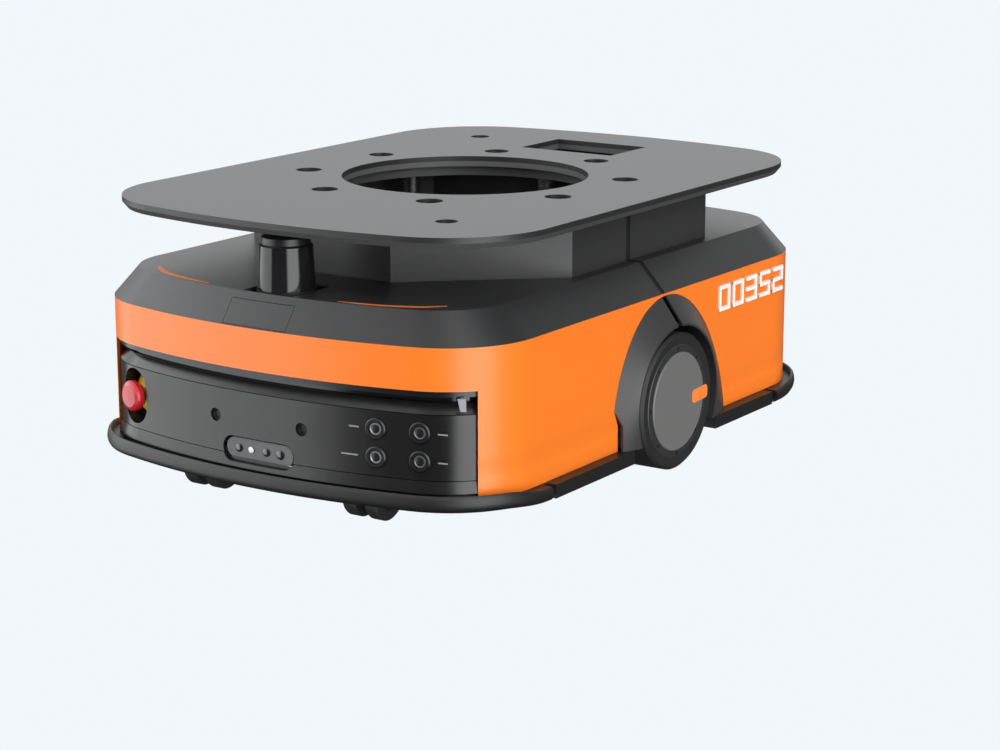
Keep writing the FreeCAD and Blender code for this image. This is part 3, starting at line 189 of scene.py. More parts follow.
skin.links.new(grain.outputs["Fac"], bump.inputs["Height"])
skin.links.new(skin_in.outputs["Grain Depth"], bump.inputs["Strength"])
skin.links.new(bump.outputs["Normal"], skin_out.inputs["Normal"])


def shader_of(finish):
    """The one shader of a finish."""
    return finish.node_tree.nodes["Principled BSDF"]


def skinned_finish(name, light, dark, low, high, grain_depth, grain_scale=900.0, drift_scale=6.0,
                   metallic=0.0):
    """A finish whose colour, gloss and bump all come from the fine skin group."""
    finish = bpy.data.materials.new(name)
    finish.use_nodes = True
    links = finish.node_tree.links
    shader = shader_of(finish)
    shader.inputs["Base Color"].default_value = (*light, 1)
    shader.inputs["Roughness"].default_value = low
    shader.inputs["Metallic"].default_value = metallic
    coat = finish.node_tree.nodes.new("ShaderNodeGroup")
    coat.name = "skin"
    coat.node_tree = skin
    coat.inputs["Light"].default_value = (*light, 1)
    coat.inputs["Dark"].default_value = (*dark, 1)
    coat.inputs["Drift Scale"].default_value = drift_scale
    coat.inputs["Grain Scale"].default_value = grain_scale
    coat.inputs["Grain Depth"].default_value = grain_depth
    coat.inputs["Gloss Low"].default_value = low
    coat.inputs["Gloss High"].default_value = high
    links.new(coat.outputs["Color"], shader.inputs["Base Color"])
    links.new(coat.outputs["Roughness"], shader.inputs["Roughness"])
    links.new(coat.outputs["Normal"], shader.inputs["Normal"])
    return finish


def dress(finish, *names):
    """Puts a finish on carried-over pieces."""
    for name in names:
        for slot in nodes[name].material_slots:
            slot.material = finish


orange_paint = skinned_finish(
    "satin_orange_paint", (1.0, 0.218, 0.017), (0.96, 0.200, 0.014), 0.34, 0.44, 0.05, 1500.0, 2.5)
shader_of(orange_paint).inputs["Coat Weight"].default_value = 0.12
shader_of(orange_paint).inputs["Coat Roughness"].default_value = 0.25
orange_tree = orange_paint.node_tree
crease_place = orange_tree.nodes.new("ShaderNodeTexCoord")
crease_split = orange_tree.nodes.new("ShaderNodeSeparateXYZ")
# the crease is a shallow groove between 54 and 84 mm above the floor, soft at both edges
crease_low = orange_tree.nodes.new("ShaderNodeMapRange")
crease_low.interpolation_type = "SMOOTHSTEP"
crease_low.inputs["From Min"].default_value = 0.054
crease_low.inputs["From Max"].default_value = 0.064
crease_high = orange_tree.nodes.new("ShaderNodeMapRange")
crease_high.interpolation_type = "SMOOTHSTEP"
crease_high.inputs["From Min"].default_value = 0.066
crease_high.inputs["From Max"].default_value = 0.084
crease_high.inputs["To Min"].default_value = 1
crease_high.inputs["To Max"].default_value = 0
crease_both = orange_tree.nodes.new("ShaderNodeMath")
crease_both.operation = "MULTIPLY"
crease_bump = orange_tree.nodes.new("ShaderNodeBump")
crease_bump.inputs["Strength"].default_value = 0.6
crease_bump.inputs["Distance"].default_value = 0.0016
crease_bump.invert = True
orange_tree.links.new(crease_place.outputs["Object"], crease_split.inputs["Vector"])
orange_tree.links.new(crease_split.outputs["Z"], crease_low.inputs["Value"])
orange_tree.links.new(crease_split.outputs["Z"], crease_high.inputs["Value"])
orange_tree.links.new(crease_low.outputs["Result"], crease_both.inputs[0])
orange_tree.links.new(crease_high.outputs["Result"], crease_both.inputs[1])
orange_tree.links.new(crease_both.outputs["Value"], crease_bump.inputs["Height"])
orange_tree.links.new(orange_tree.nodes["skin"].outputs["Normal"], crease_bump.inputs["Normal"])
orange_tree.links.new(crease_bump.outputs["Normal"], shader_of(orange_paint).inputs["Normal"])
dress(orange_paint, "front_body_shell", "rear_body_shell")


# ------------------------------------------------------------------ top cover and lift tower
# Two dark grey moulded halves with a fine leather grain, closed by a soft black strip in the
# seam beside the wheels. The flared wheel arches are moulded in the same plastic.

cover_plastic = skinned_finish(
    "grained_cover_plastic", (0.027, 0.027, 0.028), (0.021, 0.021, 0.022), 0.30, 0.42, 0.35, 1100.0, 9.0)
dress(cover_plastic, "front_deck_cover", "rear_deck_cover", "access_cover")
tower_plastic = skinned_finish(
    "grained_tower_plastic", (0.040, 0.040, 0.041), (0.030, 0.030, 0.031), 0.34, 0.48, 0.30, 1100.0, 9.0)
dress(tower_plastic, "front_tower_cover", "rear_tower_cover")
arch_plastic = skinned_finish(
    "smooth_arch_plastic", (0.047, 0.047, 0.048), (0.036, 0.036, 0.037), 0.34, 0.46, 0.12, 900.0, 8.0)
dress(arch_plastic, "wheel_arches")
seam_rubber = skinned_finish(
    "black_seam_rubber", (0.006, 0.006, 0.006), (0.003, 0.003, 0.003), 0.6, 0.8, 0.2)
dress(seam_rubber, "cover_seam_strip")


# ------------------------------------------------------------------ accent stripes on the deck
# Two thin orange lines printed near the front edge of the deck, one on each side of the
# scanner, which follow the edge round towards the corners.

def face_outwards():
    """Turns every face of the active piece outwards."""
    bpy.ops.object.mode_set(mode="EDIT")
    bpy.ops.mesh.select_all(action="SELECT")
    bpy.ops.mesh.normals_make_consistent(inside=False)
    bpy.ops.object.mode_set(mode="OBJECT")


def flat_ribbon(name, path, width, level, thick=0.00012):
    """A printed line: a plane cut into lengths, laid along a path seen from above."""
    bpy.ops.object.select_all(action="DESELECT")
    bpy.ops.mesh.primitive_grid_add(x_subdivisions=len(path) - 1, y_subdivisions=1, size=2)
    ribbon = bpy.context.object
    ribbon.name = name
    for corner in ribbon.data.vertices:
        step = round((corner.co.x + 1) / 2 * (len(path) - 1))
        here = Vector(path[step])
        ahead = Vector(path[min(step + 1, len(path) - 1)]) - Vector(path[max(step - 1, 0)])
        across = Vector((-ahead.y, ahead.x)).normalized() * width[step] / 2
        side = 1 if corner.co.y > 0 else -1
        corner.co = (here.x + across.x * side, here.y + across.y * side, level)
    solid = ribbon.modifiers.new("print", "SOLIDIFY")
    solid.thickness = thick
    solid.offset = 1
    bpy.ops.object.modifier_apply(modifier="print")
    return ribbon


stripe_ink = skinned_finish(
    "orange_print", (1.0, 0.26, 0.05), (0.70, 0.15, 0.03), 0.45, 0.6, 0.15, 900.0, 60.0)
deck_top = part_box("front_deck_cover")[1][2]
stripe_path = [(-0.186, -0.303), (-0.179, -0.311), (-0.170, -0.3185), (-0.160, -0.325), (-0.148, -0.3305),
               (-0.134, -0.3355), (-0.118, -0.3395), (-0.100, -0.3425), (-0.083, -0.3445)]
stripe_widths = [0.0026, 0.0050, 0.0062, 0.0068, 0.0068, 0.0062, 0.0052, 0.0040, 0.0016]
for side, name in ((1, "deck_stripe_right"), (-1, "deck_stripe_left")):
    path = [(x * side, y) for x, y in stripe_path]
    stripe = flat_ribbon(name, path, stripe_widths, deck_top + 0.00003)
    if side < 0:
        face_outwards()
    stripe.data.materials.append(stripe_ink)
    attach(stripe, "chassis")


# ------------------------------------------------------------------ fleet number on the side
# A plain five-figure number cut from white film, in the straight-stroke figures of a counter
# display, stuck to the painted side behind the left wheel.

def join_pieces(name, pieces):
    """Joins like pieces into one piece with a name of its own."""
    bpy.ops.object.select_all(action="DESELECT")
    for piece in pieces:
        piece.select_set(True)
    bpy.context.view_layer.objects.active = pieces[0]
    bpy.ops.object.join()
    bpy.context.object.name = name
    return bpy.context.object


number_film = skinned_finish(
    "white_number_film", (0.86, 0.84, 0.80), (0.78, 0.76, 0.72), 0.35, 0.45, 0.04, 900.0, 30.0)
side_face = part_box("rear_body_shell")[1][0]
strokes = {"0": "aLRd", "2": "abged", "3": "aRgd", "5": "afgcd"}
# each stroke: its shift and rise in the figure, and whether it lies level
stroke_place = {"a": (0.0, 0.5, 1), "g": (0.0, 0.0, 1), "d": (0.0, -0.5, 1), "b": (0.5, 0.25, 0),
                "c": (0.5, -0.25, 0), "e": (-0.5, -0.25, 0), "f": (-0.5, 0.25, 0),
                "L": (-0.5, 0.0, 0), "R": (0.5, 0.0, 0)}
figure_width, figure_height, stroke_width = 0.0205, 0.0245, 0.0052
first_figure, figure_pitch, middle_z = 0.1345, 0.0318, 0.1668
bars = []
for index, figure in enumerate("00352"):
    middle_y = first_figure + figure_pitch * index
    for name in strokes[figure]:
        shift, rise, level = stroke_place[name]
        rows = 1 if name in "LR" else 2
        long = figure_width + stroke_width if level else figure_height / rows + stroke_width
        bpy.ops.mesh.primitive_cube_add(size=1, location=(0, middle_y + shift * figure_width,
                                                          middle_z + rise * figure_height))
        bar = bpy.context.object
        bar.scale = (0.00020, long, stroke_width) if level else (0.00028, stroke_width, long)
        bpy.ops.object.transform_apply(location=True, rotation=True, scale=True)
        bpy.ops.object.mode_set(mode="EDIT")
        bpy.ops.mesh.select_all(action="SELECT")
        edges = bmesh.from_edit_mesh(bar.data)
        for edge in edges.edges:
            edge.select = abs(edge.verts[0].co.x - edge.verts[1].co.x) > 0.0001
        edges.select_flush(True)
        bmesh.update_edit_mesh(bar.data)
        bpy.ops.mesh.bevel(offset=0.0015, segments=3, affect="EDGES")
        bpy.ops.object.mode_set(mode="OBJECT")
        bars.append(bar)
fleet_number = join_pieces("fleet_number", bars)
for corner in fleet_number.data.vertices:
    corner.co.x += side_face + 0.0001
fleet_number.data.materials.append(number_film)
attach(fleet_number, "chassis")


# ------------------------------------------------------------------ front panel and its strips
# The control panel, the strips above and below it and the rear panel are satin black
# mouldings; the dark strip above the sill is a polished window for the line sensors.

panel_plastic = skinned_finish(
    "satin_panel_plastic", (0.012, 0.012, 0.012), (0.009, 0.009, 0.009), 0.20, 0.27, 0.06, 1300.0, 4.0)
dress(panel_plastic, "front_control_panel", "front_bezel", "front_kick_strip", "rear_panel", "front_sill")
panel_bow, bow_centre = 0.746, 0.372

# a bowed dark sheet behind the panel's lower edge stands in for the shade there and closes the
# floor pan's notches; under the camera it is higher
bpy.ops.object.select_all(action="DESELECT")
bpy.ops.mesh.primitive_grid_add(x_subdivisions=36, y_subdivisions=1, size=2)
shade_sheet = bpy.context.object
shade_sheet.name = "front_shade_sheet"
sheet_bow, sheet_half, sheet_foot, sheet_top = 0.7430, 0.2125, 0.0402, 0.0476
raised_half, raised_top = 0.057, 0.0545
for corner in shade_sheet.data.vertices:
    across = corner.co.x * sheet_half
    top = raised_top if abs(across) < raised_half else sheet_top
    corner.co = (across, bow_centre - math.sqrt(sheet_bow ** 2 - across ** 2),
                 top if corner.co.y > 0 else sheet_foot)
thickness = shade_sheet.modifiers.new("sheet", "SOLIDIFY")
thickness.thickness = 0.001
thickness.offset = 0
bpy.ops.object.modifier_apply(modifier="sheet")
face_outwards()
# painted shade: the satin black of this sheet fills the shade under the panel's lower edge
shade_sheet.data.materials.append(panel_plastic)
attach(shade_sheet, "chassis")
slot_glass = skinned_finish(
    "polished_slot_window", (0.006, 0.006, 0.007), (0.004, 0.004, 0.005), 0.08, 0.14, 0.01)
dress(slot_glass, "slot_window")


def panel_seat(across, up, depth=0.0):
    """Where a fitting sits on the bowed panel, with its own Z axis pointing out of the panel."""
    reach = panel_bow - depth
    lean = math.asin(across / panel_bow)
    spot = Vector((reach * math.sin(lean), bow_centre - reach * math.cos(lean), up))
    turn = Matrix.Rotation(lean, 4, "Z") @ Matrix.Rotation(math.radians(90), 4, "X")
    return Matrix.Translation(spot) @ turn


def seat_piece(piece, matrix):
    """Moves a finished piece to its seat and leaves its origin at the robot's origin."""
    bpy.ops.object.select_all(action="DESELECT")
    bpy.context.view_layer.objects.active = piece
    piece.select_set(True)
    piece.matrix_world = matrix
    bpy.ops.object.transform_apply(location=True, rotation=True, scale=True)


def choose_faces(piece, test):
    """In edit mode, selects only the faces that pass a test on their centre and normal."""
    bpy.ops.mesh.select_mode(type="FACE")
    shape = bmesh.from_edit_mesh(piece.data)
    for face in shape.faces:
        face.select = test(face.calc_center_median(), face.normal)
    shape.select_flush_mode()
    bmesh.update_edit_mesh(piece.data)


# the pale end face of the slot window, at the side of the panel, one lower corner drawn in
end_ink = skinned_finish(
    "pale_slot_end", (0.42, 0.42, 0.43), (0.34, 0.34, 0.35), 0.3, 0.4, 0.03)
bpy.ops.mesh.primitive_cube_add(size=1)
slot_end = bpy.context.object
slot_end.name = "slot_end_face"
slot_end.scale = (0.0090, 0.0128, 0.0008)
bpy.ops.object.transform_apply(location=True, rotation=True, scale=True)
for corner in slot_end.data.vertices:
    if corner.co.x < 0 and corner.co.y < 0:
        corner.co.x += 0.0030
bpy.ops.object.mode_set(mode="EDIT")
bpy.ops.mesh.select_all(action="SELECT")
bpy.ops.mesh.bevel(offset=0.0002, segments=2, affect="EDGES")
bpy.ops.object.mode_set(mode="OBJECT")
seat_piece(slot_end, panel_seat(0.2262, 0.1368, 0.0050))
slot_end.data.materials.append(end_ink)
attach(slot_end, "chassis")

# label lines beside the buttons: short dashes of pale print with nothing written on them
label_ink = skinned_finish(
    "pale_label_print", (0.30, 0.30, 0.30), (0.24, 0.24, 0.24), 0.4, 0.5, 0.05)
button_inner, button_outer, button_high, button_low = 0.140, 0.186, 0.107, 0.078
labels = []
for across, up, offset, long in ((button_inner, button_high, -0.024, 0.013),
                                 (button_inner, button_low, -0.029, 0.022),
                                 (button_outer, button_high, 0.023, 0.012),
                                 (button_outer, button_low, 0.023, 0.012)):
    bpy.ops.mesh.primitive_cube_add(size=1)
    dash = bpy.context.object
    dash.scale = (long * 0.85, 0.0015, 0.0002)
    bpy.ops.object.transform_apply(location=True, rotation=True, scale=True)
    bpy.ops.object.mode_set(mode="EDIT")
    bpy.ops.mesh.select_all(action="SELECT")
    bpy.ops.mesh.bevel(offset=0.0003, segments=2, affect="VERTICES")
    bpy.ops.object.mode_set(mode="OBJECT")
    seat_piece(dash, panel_seat(across + offset, up, -0.0001))
    labels.append(dash)
button_labels = join_pieces("button_label_lines", labels)
button_labels.data.materials.append(label_ink)
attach(button_labels, "chassis")


# ------------------------------------------------------------------ push buttons
# Four sprung metal caps with a bright ring and a dark insert, each in a black threaded
# housing that is clamped through the panel.

housing_plastic = skinned_finish(
    "black_housing_plastic", (0.010, 0.010, 0.010), (0.007, 0.007, 0.007), 0.28, 0.4, 0.1)
dress(housing_plastic, "button_housings")
cap_metal = skinned_finish(
    "turned_button_metal", (0.62, 0.62, 0.63), (0.48, 0.48, 0.50), 0.25, 0.38, 0.08, 2500.0, 200.0, 1.0)
insert_plastic = skinned_finish(
    "dark_button_insert", (0.016, 0.016, 0.017), (0.010, 0.010, 0.011), 0.2, 0.3, 0.04)
insert_stand = 0.0008
for name, across, up in (("upper_inner", button_inner, button_high),
                         ("upper_outer", button_outer, button_high),
                         ("lower_inner", button_inner, button_low),
                         ("lower_outer", button_outer, button_low)):
    dress(cap_metal, name + "_button")
    bpy.ops.mesh.primitive_cylinder_add(vertices=48, radius=0.0043, depth=0.0004)
    insert = bpy.context.object
    insert.name = name + "_insert"
    bpy.ops.object.mode_set(mode="EDIT")
    choose_faces(insert, lambda centre, normal: normal.z > 0.9)
    bpy.ops.mesh.inset(thickness=0.0006)
    bpy.ops.transform.translate(value=(0, 0, 0.0002))
    bpy.ops.mesh.inset(thickness=0.0016)
    bpy.ops.transform.translate(value=(0, 0, 0.0002))
    bpy.ops.object.mode_set(mode="OBJECT")
    bpy.ops.object.shade_smooth_by_angle(angle=math.radians(35))
    seat_piece(insert, panel_seat(across, up, -insert_stand))
    insert.data.materials.append(insert_plastic)
    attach(insert, name + "_cap")


# ------------------------------------------------------------------ emergency stop
# A red mushroom head on a sliding stem, with a yellow collar behind it, sunk in a tall
# black dish so that a load can't strike it by accident.

estop_red = skinned_finish(
    "emergency_red", (0.58, 0.012, 0.022), (0.48, 0.008, 0.016), 0.28, 0.36, 0.05)
shader_of(estop_red).inputs["Coat Weight"].default_value = 0.3
dress(estop_red, "estop_head")
estop_yellow = skinned_finish(
    "emergency_yellow", (0.86, 0.60, 0.02), (0.78, 0.52, 0.015), 0.35, 0.45, 0.05)
dress(estop_yellow, "estop_collar")
stem_metal = skinned_finish(
    "plated_stem", (0.5, 0.5, 0.5), (0.42, 0.42, 0.42), 0.25, 0.35, 0.05, 900.0, 50.0, 1.0)
dress(stem_metal, "estop_stem")
dish_plastic = skinned_finish(
    "black_dish_plastic", (0.010, 0.010, 0.010), (0.006, 0.006, 0.006), 0.3, 0.42, 0.1)
dress(dish_plastic, "estop_dish")


# ------------------------------------------------------------------ depth camera and sonar
# A grey camera bar behind a round-ended opening, with four lenses of different sizes, and
# two small ultrasonic sensors set in the panel above it.

camera_case = skinned_finish(
    "camera_grey_case", (0.11, 0.11, 0.112), (0.085, 0.085, 0.087), 0.32, 0.42, 0.06)
dress(camera_case, "depth_camera")
lens_glass = skinned_finish(
    "coated_lens_glass", (0.010, 0.012, 0.018), (0.006, 0.007, 0.012), 0.04, 0.08, 0.0)
shader_of(lens_glass).inputs["Coat Weight"].default_value = 1.0
lit_lens = skinned_finish(
    "projector_lens", (0.85, 0.86, 0.88), (0.75, 0.76, 0.80), 0.1, 0.2, 0.02)


def glass_dome(name, radius, cut, flatten):
    """A shallow lens: the top of a ball above a cut at a share of its radius, pressed flat."""
    bpy.ops.mesh.primitive_uv_sphere_add(segments=32, ring_count=16, radius=radius)
    bpy.context.object.name = name
    bpy.ops.object.mode_set(mode="EDIT")
    bpy.ops.mesh.select_all(action="SELECT")
    bpy.ops.mesh.bisect(plane_co=(0, 0, radius * cut), plane_no=(0, 0, 1), clear_inner=True, use_fill=True)
    bpy.ops.mesh.select_all(action="SELECT")
    bpy.ops.transform.resize(value=(1, 1, flatten))
    bpy.ops.object.mode_set(mode="OBJECT")
    bpy.ops.object.shade_smooth_by_angle(angle=math.radians(40))
    return bpy.context.object


camera_up = 0.0645
for name, across, radius, glass in (("left_imager", -0.027, 0.0048, lens_glass),
                                    ("projector", -0.011, 0.0040, lit_lens),
                                    ("right_imager", 0.009, 0.0046, lens_glass),
                                    ("colour_imager", 0.027, 0.0052, lens_glass)):
    dome = glass_dome("camera_" + name, radius, 0.45, 0.35)
    seat_piece(dome, panel_seat(across, camera_up, 0.0050) @ Matrix.Translation((0, 0, -radius * 0.14)))
    dome.data.materials.append(glass)
    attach(dome, "chassis")
sonar_face = skinned_finish(
    "sonar_black", (0.006, 0.006, 0.006), (0.004, 0.004, 0.004), 0.45, 0.6, 0.3)
dress(sonar_face, "ultrasonic_sensors")


# ------------------------------------------------------------------ laser scanner
# The navigation scanner: a smoked window ring that leans in towards its top, a black cap
# and, inside it, the turning mirror head.

window_plastic = skinned_finish(
    "smoked_scanner_window", (0.012, 0.012, 0.013), (0.008, 0.008, 0.009), 0.06, 0.10, 0.01)
dress(window_plastic, "lidar_window")
scanner_black = skinned_finish(
    "scanner_black_plastic", (0.016, 0.016, 0.017), (0.011, 0.011, 0.012), 0.3, 0.42, 0.1)
dress(scanner_black, "lidar_cap", "lidar_base")
rotor_metal = skinned_finish(
    "rotor_anodised", (0.05, 0.05, 0.055), (0.035, 0.035, 0.04), 0.2, 0.3, 0.05, 900.0, 20.0, 1.0)
dress(rotor_metal, "lidar_rotor")


# ------------------------------------------------------------------ bumpers and skirts
# Sprung bumpers at both ends and straight strips along the sides, all in black rubber with
# a dull moulded surface.

bumper_rubber = skinned_finish(
    "bumper_rubber", (0.014, 0.014, 0.014), (0.010, 0.010, 0.010), 0.38, 0.52, 0.3, 700.0, 12.0)
dress(bumper_rubber, "front_bumper", "rear_bumper", "side_skirts")


def end_rise(along):
    """How far the end of the robot has risen from the side joint, from 0 to 1."""
    side_joint, climb = 0.243, 0.070
    part = min(1.0, max(0.0, (abs(along) - side_joint) / climb))
    return part * part * (3 - 2 * part)


# the moulded section in millimetres: depth in from the outline, height at the side joint and
# what the end adds to it; the outline is the ring of the carried-over bumper at one level
outline_level = 0.0322
bumper_section = ((5.5, 25.0, 4.4), (2.4, 26.2, 4.5), (0.7, 28.9, 4.6), (0.0, 32.4, 4.9), (0.5, 35.9, 5.9),
                  (1.5, 38.0, 7.2), (2.9, 39.2, 7.7), (4.3, 39.3, 7.2), (5.2, 39.35, 5.0), (5.7, 39.4, 0.0),
                  (22.0, 39.4, 0.0), (22.0, 25.0, 4.4))
for end in ("front", "rear"):
    shape = nodes[end + "_bumper"]
    ring = {(round(corner.co.x, 4), round(corner.co.y, 4)) for corner in shape.data.vertices
            if abs(corner.co.z - outline_level) < 0.0004}
    path = [Vector(spot) for spot in sorted(ring, key=lambda spot: math.atan2(spot[1], spot[0]))]
    turns = len(bumper_section)
    bpy.ops.object.select_all(action="DESELECT")
    bpy.ops.mesh.primitive_grid_add(x_subdivisions=len(path) - 1, y_subdivisions=turns, size=2)
    moulding = bpy.context.object
    moulding.name = end + "_bumper_moulding"
    for corner in moulding.data.vertices:
        step = round((corner.co.x + 1) / 2 * (len(path) - 1))
        depth, height, extra = bumper_section[round((corner.co.y + 1) / 2 * turns) % turns]
        ahead = path[min(step + 1, len(path) - 1)] - path[max(step - 1, 0)]
        outward = Vector((ahead.y, -ahead.x)).normalized()
        if step in (0, len(path) - 1):
            outward = Vector((math.copysign(1.0, path[step].x), 0))
        if outward.dot(path[step]) < 0:
            outward = -outward
        spot = path[step] - outward * depth / 1000
        corner.co = (spot.x, spot.y, (height + extra * end_rise(path[step].y)) / 1000)
    bpy.ops.object.mode_set(mode="EDIT")
    bpy.ops.mesh.select_all(action="SELECT")
    bpy.ops.mesh.remove_doubles(threshold=0.00002)
    bpy.ops.mesh.select_all(action="SELECT")
    bpy.ops.mesh.fill_holes(sides=0)
    bpy.ops.mesh.select_all(action="SELECT")
    bpy.ops.mesh.normals_make_consistent(inside=False)
    bpy.ops.object.mode_set(mode="OBJECT")
    bpy.ops.object.shade_smooth_by_angle(angle=math.radians(38))
    moulding.data.materials.append(bumper_rubber)
    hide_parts(end + "_bumper")
    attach(moulding, end + "_bumper_strip")


# ------------------------------------------------------------------ drive wheels
# Solid rubber tyres bonded to cast rims, each closed by a grey hub disc with three small
# screws, and held by eight countersunk screws round the disc. An orange film tab lies behind
# the axle.

tyre_rubber = skinned_finish(
    "tyre_rubber", (0.017, 0.017, 0.017), (0.012, 0.012, 0.012), 0.5, 0.7, 0.35, 600.0, 30.0)
dress(tyre_rubber, "left_tyre", "right_tyre")
rim_metal = skinned_finish(
    "dark_rim_casting", (0.034, 0.034, 0.035), (0.026, 0.026, 0.027), 0.35, 0.5, 0.15)
dress(rim_metal, "left_rim", "right_rim")
hub_paint = skinned_finish(
    "grey_hub_paint", (0.158, 0.156, 0.153), (0.146, 0.144, 0.141), 0.38, 0.48, 0.06, 1200.0, 5.0)
dress(hub_paint, "left_hub_cap", "right_hub_cap")
screw_steel = skinned_finish(
    "blackened_screw_steel", (0.03, 0.03, 0.03), (0.02, 0.02, 0.02), 0.3, 0.45, 0.1, 900.0, 60.0, 1.0)
tab_film = skinned_finish(
    "orange_tab_film", (1.0, 0.27, 0.05), (0.95, 0.22, 0.03), 0.35, 0.45, 0.03, 900.0, 60.0)
axle_along, axle_up = 0.010, 0.075
rim_reach, rim_face = 0.0578, 0.2706
cap_reach, cap_face = 0.0170, 0.2725
tab_face, tab_along, tab_up = 0.27235, 0.0555, 0.0745
for side, name in ((1, "left"), (-1, "right")):
    heads = []
    for index in range(11):
        ring = index < 8
        turn = math.radians(45 * index if ring else 87 + 120 * (index - 8))
        reach, face = (rim_reach, rim_face) if ring else (cap_reach, cap_face)
        bpy.ops.mesh.primitive_cylinder_add(vertices=24, radius=0.0024 if ring else 0.0019, depth=0.0008)
        head = bpy.context.object
        bpy.ops.object.mode_set(mode="EDIT")
        choose_faces(head, lambda centre, normal: normal.z > 0.9)
        bpy.ops.mesh.inset(thickness=0.0007)
        bpy.ops.transform.translate(value=(0, 0, -0.0005))
        bpy.ops.object.mode_set(mode="OBJECT")
        spot = Matrix.Translation((side * (face - 0.0004), axle_along + reach * math.cos(turn),
                                   axle_up + reach * math.sin(turn)))
        seat_piece(head, spot @ Matrix.Rotation(math.radians(90 * side), 4, "Y"))
        heads.append(head)
    screws = join_pieces(name + "_wheel_screws", heads)
    screws.data.materials.append(screw_steel)
    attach(screws, name + "_wheel")
    bpy.ops.mesh.primitive_plane_add(size=1)
    tab = bpy.context.object
    tab.name = name + "_wheel_tab"
    tab.scale = (0.034, 0.0150, 1)
    bpy.ops.object.transform_apply(location=True, rotation=True, scale=True)
    bpy.ops.object.mode_set(mode="EDIT")
    bpy.ops.mesh.select_all(action="SELECT")
    bpy.ops.mesh.bevel(offset=0.0050, segments=6, affect="VERTICES")
    bpy.ops.mesh.extrude_region_move(TRANSFORM_OT_translate={"value": (0, 0, 0.0002)})
    bpy.ops.mesh.select_all(action="SELECT")
    bpy.ops.mesh.normals_make_consistent(inside=False)
    bpy.ops.object.mode_set(mode="OBJECT")
    outward = Matrix(((0, 0, side, side * tab_face), (1, 0, 0, tab_along), (0, side, 0, tab_up),
                      (0, 0, 0, 1)))
    seat_piece(tab, outward @ Matrix.Rotation(math.radians(3 * side), 4, "Z"))
    if side < 0:
        face_outwards()
    tab.data.materials.append(tab_film)
    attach(tab, name + "_wheel")


# ------------------------------------------------------------------ load platform
# A steel plate with a grey powder-coated top; its rim and the walls of its holes are coloured near
# black as painted shade and dark reflection, and the bevel under the rim is coloured light grey as a
# painted reflection of the bright floor.

plate_paint = skinned_finish(
    "powder_coat_with_painted_edge_light", (0.060, 0.060, 0.061), (0.052, 0.052, 0.053), 0.34, 0.5, 0.12, 1400.0, 3.0)
top_level, bevel_level = 0.29965, 0.2941
plate_tree = plate_paint.node_tree
plate_place = plate_tree.nodes.new("ShaderNodeTexCoord")
plate_split = plate_tree.nodes.new("ShaderNodeSeparateXYZ")
plate_top = plate_tree.nodes.new("ShaderNodeMath")
plate_top.operation = "GREATER_THAN"
plate_top.inputs[1].default_value = top_level
# below this level the plate is coloured light grey, a painted highlight reflecting the floor
bevel_highlight_mask = plate_tree.nodes.new("ShaderNodeMath")
bevel_highlight_mask.operation = "LESS_THAN"
bevel_highlight_mask.inputs[1].default_value = bevel_level
# painted edge light: near black for the rim's dark reflection and shade, light grey for the bevel's
# reflection of the floor
painted_edge_reflection_mix = plate_tree.nodes.new("ShaderNodeMix")
painted_edge_reflection_mix.data_type = "RGBA"
painted_edge_reflection_mix.inputs["A"].default_value = (0.022, 0.022, 0.022, 1)
painted_edge_reflection_mix.inputs["B"].default_value = (0.10, 0.10, 0.10, 1)
plate_mix = plate_tree.nodes.new("ShaderNodeMix")
plate_mix.data_type = "RGBA"
plate_tree.links.new(plate_place.outputs["Object"], plate_split.inputs["Vector"])
plate_tree.links.new(plate_split.outputs["Z"], plate_top.inputs[0])
plate_tree.links.new(plate_split.outputs["Z"], bevel_highlight_mask.inputs[0])
plate_tree.links.new(bevel_highlight_mask.outputs["Value"], painted_edge_reflection_mix.inputs["Factor"])
plate_tree.links.new(plate_top.outputs["Value"], plate_mix.inputs["Factor"])
plate_tree.links.new(painted_edge_reflection_mix.outputs["Result"], plate_mix.inputs["A"])
plate_tree.links.new(plate_tree.nodes["skin"].outputs["Color"], plate_mix.inputs["B"])
plate_tree.links.new(plate_mix.outputs["Result"], shader_of(plate_paint).inputs["Base Color"])
dress(plate_paint, "platform_plate")


# ------------------------------------------------------------------ lift, frame and inner units
# Under the platform: the black-painted lift frame and sleeve on ground steel columns, the
# guide bridge and two electric cylinders; round them the battery, the electronics, the
# charging contacts in the rear panel and the four casters.

lift_paint = skinned_finish(
    "black_lift_paint", (0.070, 0.070, 0.071), (0.055, 0.055, 0.056), 0.4, 0.55, 0.2)
dress(lift_paint, "lift_frame", "lift_sleeve", "lift_guide")
ground_steel = skinned_finish(
    "ground_steel", (0.58, 0.58, 0.58), (0.46, 0.46, 0.46), 0.2, 0.32, 0.05, 900.0, 25.0, 1.0)
dress(ground_steel, "lift_columns")
frame_paint = skinned_finish(
    "frame_powder_coat", (0.045, 0.045, 0.047), (0.034, 0.034, 0.036), 0.45, 0.6, 0.25)
dress(frame_paint, "chassis_frame", "base_plate")
cast_grey = skinned_finish(
    "die_cast_grey", (0.20, 0.20, 0.21), (0.15, 0.15, 0.16), 0.4, 0.55, 0.3, 500.0, 12.0, 0.6)
dress(cast_grey, "lift_actuators", "drive_motors", "control_units")
battery_plastic = skinned_finish(
    "battery_case_plastic", (0.020, 0.021, 0.024), (0.014, 0.015, 0.017), 0.4, 0.5, 0.2)
dress(battery_plastic, "battery", "load_camera")
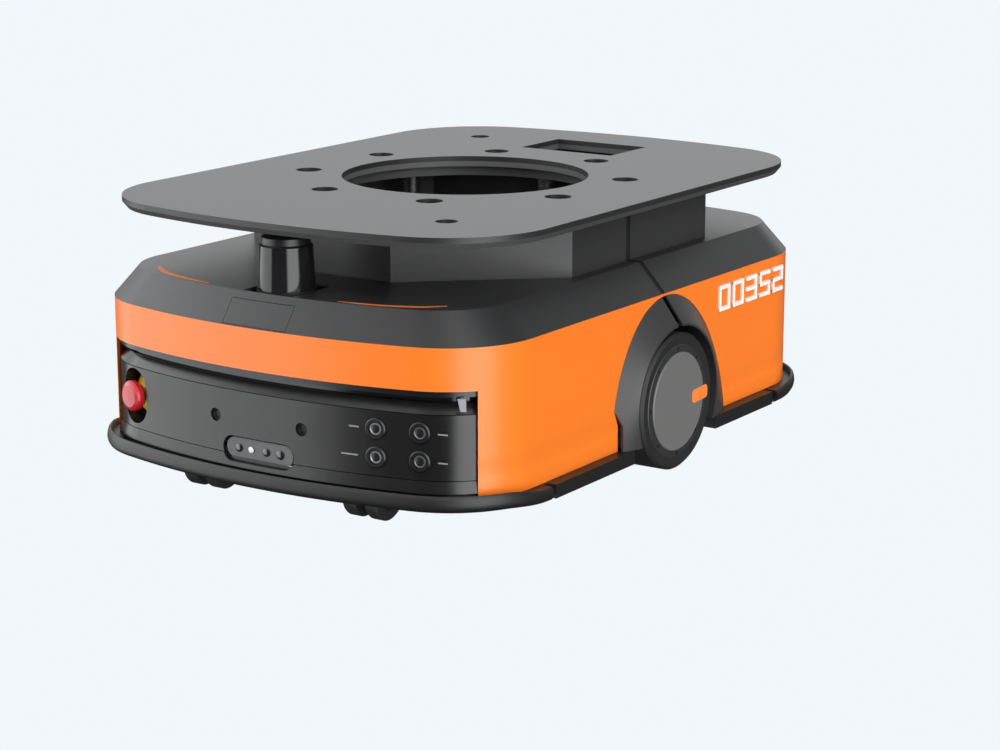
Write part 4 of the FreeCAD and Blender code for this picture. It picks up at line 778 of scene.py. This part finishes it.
contact_brass = skinned_finish(
    "charging_brass", (0.62, 0.42, 0.16), (0.48, 0.32, 0.11), 0.22, 0.35, 0.08, 900.0, 40.0, 1.0)
dress(contact_brass, "charge_contacts")
caster_steel = skinned_finish(
    "zinc_plated_steel", (0.48, 0.48, 0.47), (0.36, 0.36, 0.35), 0.3, 0.45, 0.12, 900.0, 30.0, 1.0)
caster_tread = skinned_finish(
    "caster_polyurethane", (0.035, 0.035, 0.036), (0.025, 0.025, 0.026), 0.4, 0.55, 0.15)
for corner in ("front_left", "front_right", "rear_left", "rear_right"):
    dress(caster_steel, corner + "_caster_fork")
    dress(caster_tread, corner + "_caster_wheels")


# ------------------------------------------------------------------ load camera hood
# A black moulded box on the deck behind the tower, open at its top under the window in the
# platform. A wide lens and two lamps look up out of it at the load's marker.

hood_along, hood_middle, hood_height, lens_up = 0.251, 0.25845, 0.0571, 0.2744
bpy.ops.object.select_all(action="DESELECT")
bpy.ops.mesh.primitive_cube_add(size=1, location=(0, hood_along, hood_middle))
hood = bpy.context.object
hood.name = "load_camera_hood"
hood.scale = (0.150, 0.108, hood_height)
bpy.ops.object.transform_apply(location=True, rotation=True, scale=True)
bpy.ops.object.mode_set(mode="EDIT")
choose_faces(hood, lambda centre, normal: normal.z > 0.9)
bpy.ops.mesh.inset(thickness=0.0020)
bpy.ops.mesh.extrude_region_move(TRANSFORM_OT_translate={"value": (0, 0, -0.0120)})
bpy.ops.mesh.inset(thickness=0.0012)
bpy.ops.transform.translate(value=(0, 0, -0.0006))
bpy.ops.object.mode_set(mode="OBJECT")
hood.data.materials.append(battery_plastic)
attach(hood, "chassis")
for name, across, radius, glass in (("lens", 0.0, 0.0110, lens_glass),
                                    ("left_lamp", 0.036, 0.0070, lit_lens),
                                    ("right_lamp", -0.036, 0.0070, lit_lens)):
    dome = glass_dome("load_camera_" + name, radius, 0, 0.4)
    seat_piece(dome, Matrix.Translation((across, hood_along, lens_up)))
    dome.data.materials.append(glass)
    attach(dome, "chassis")
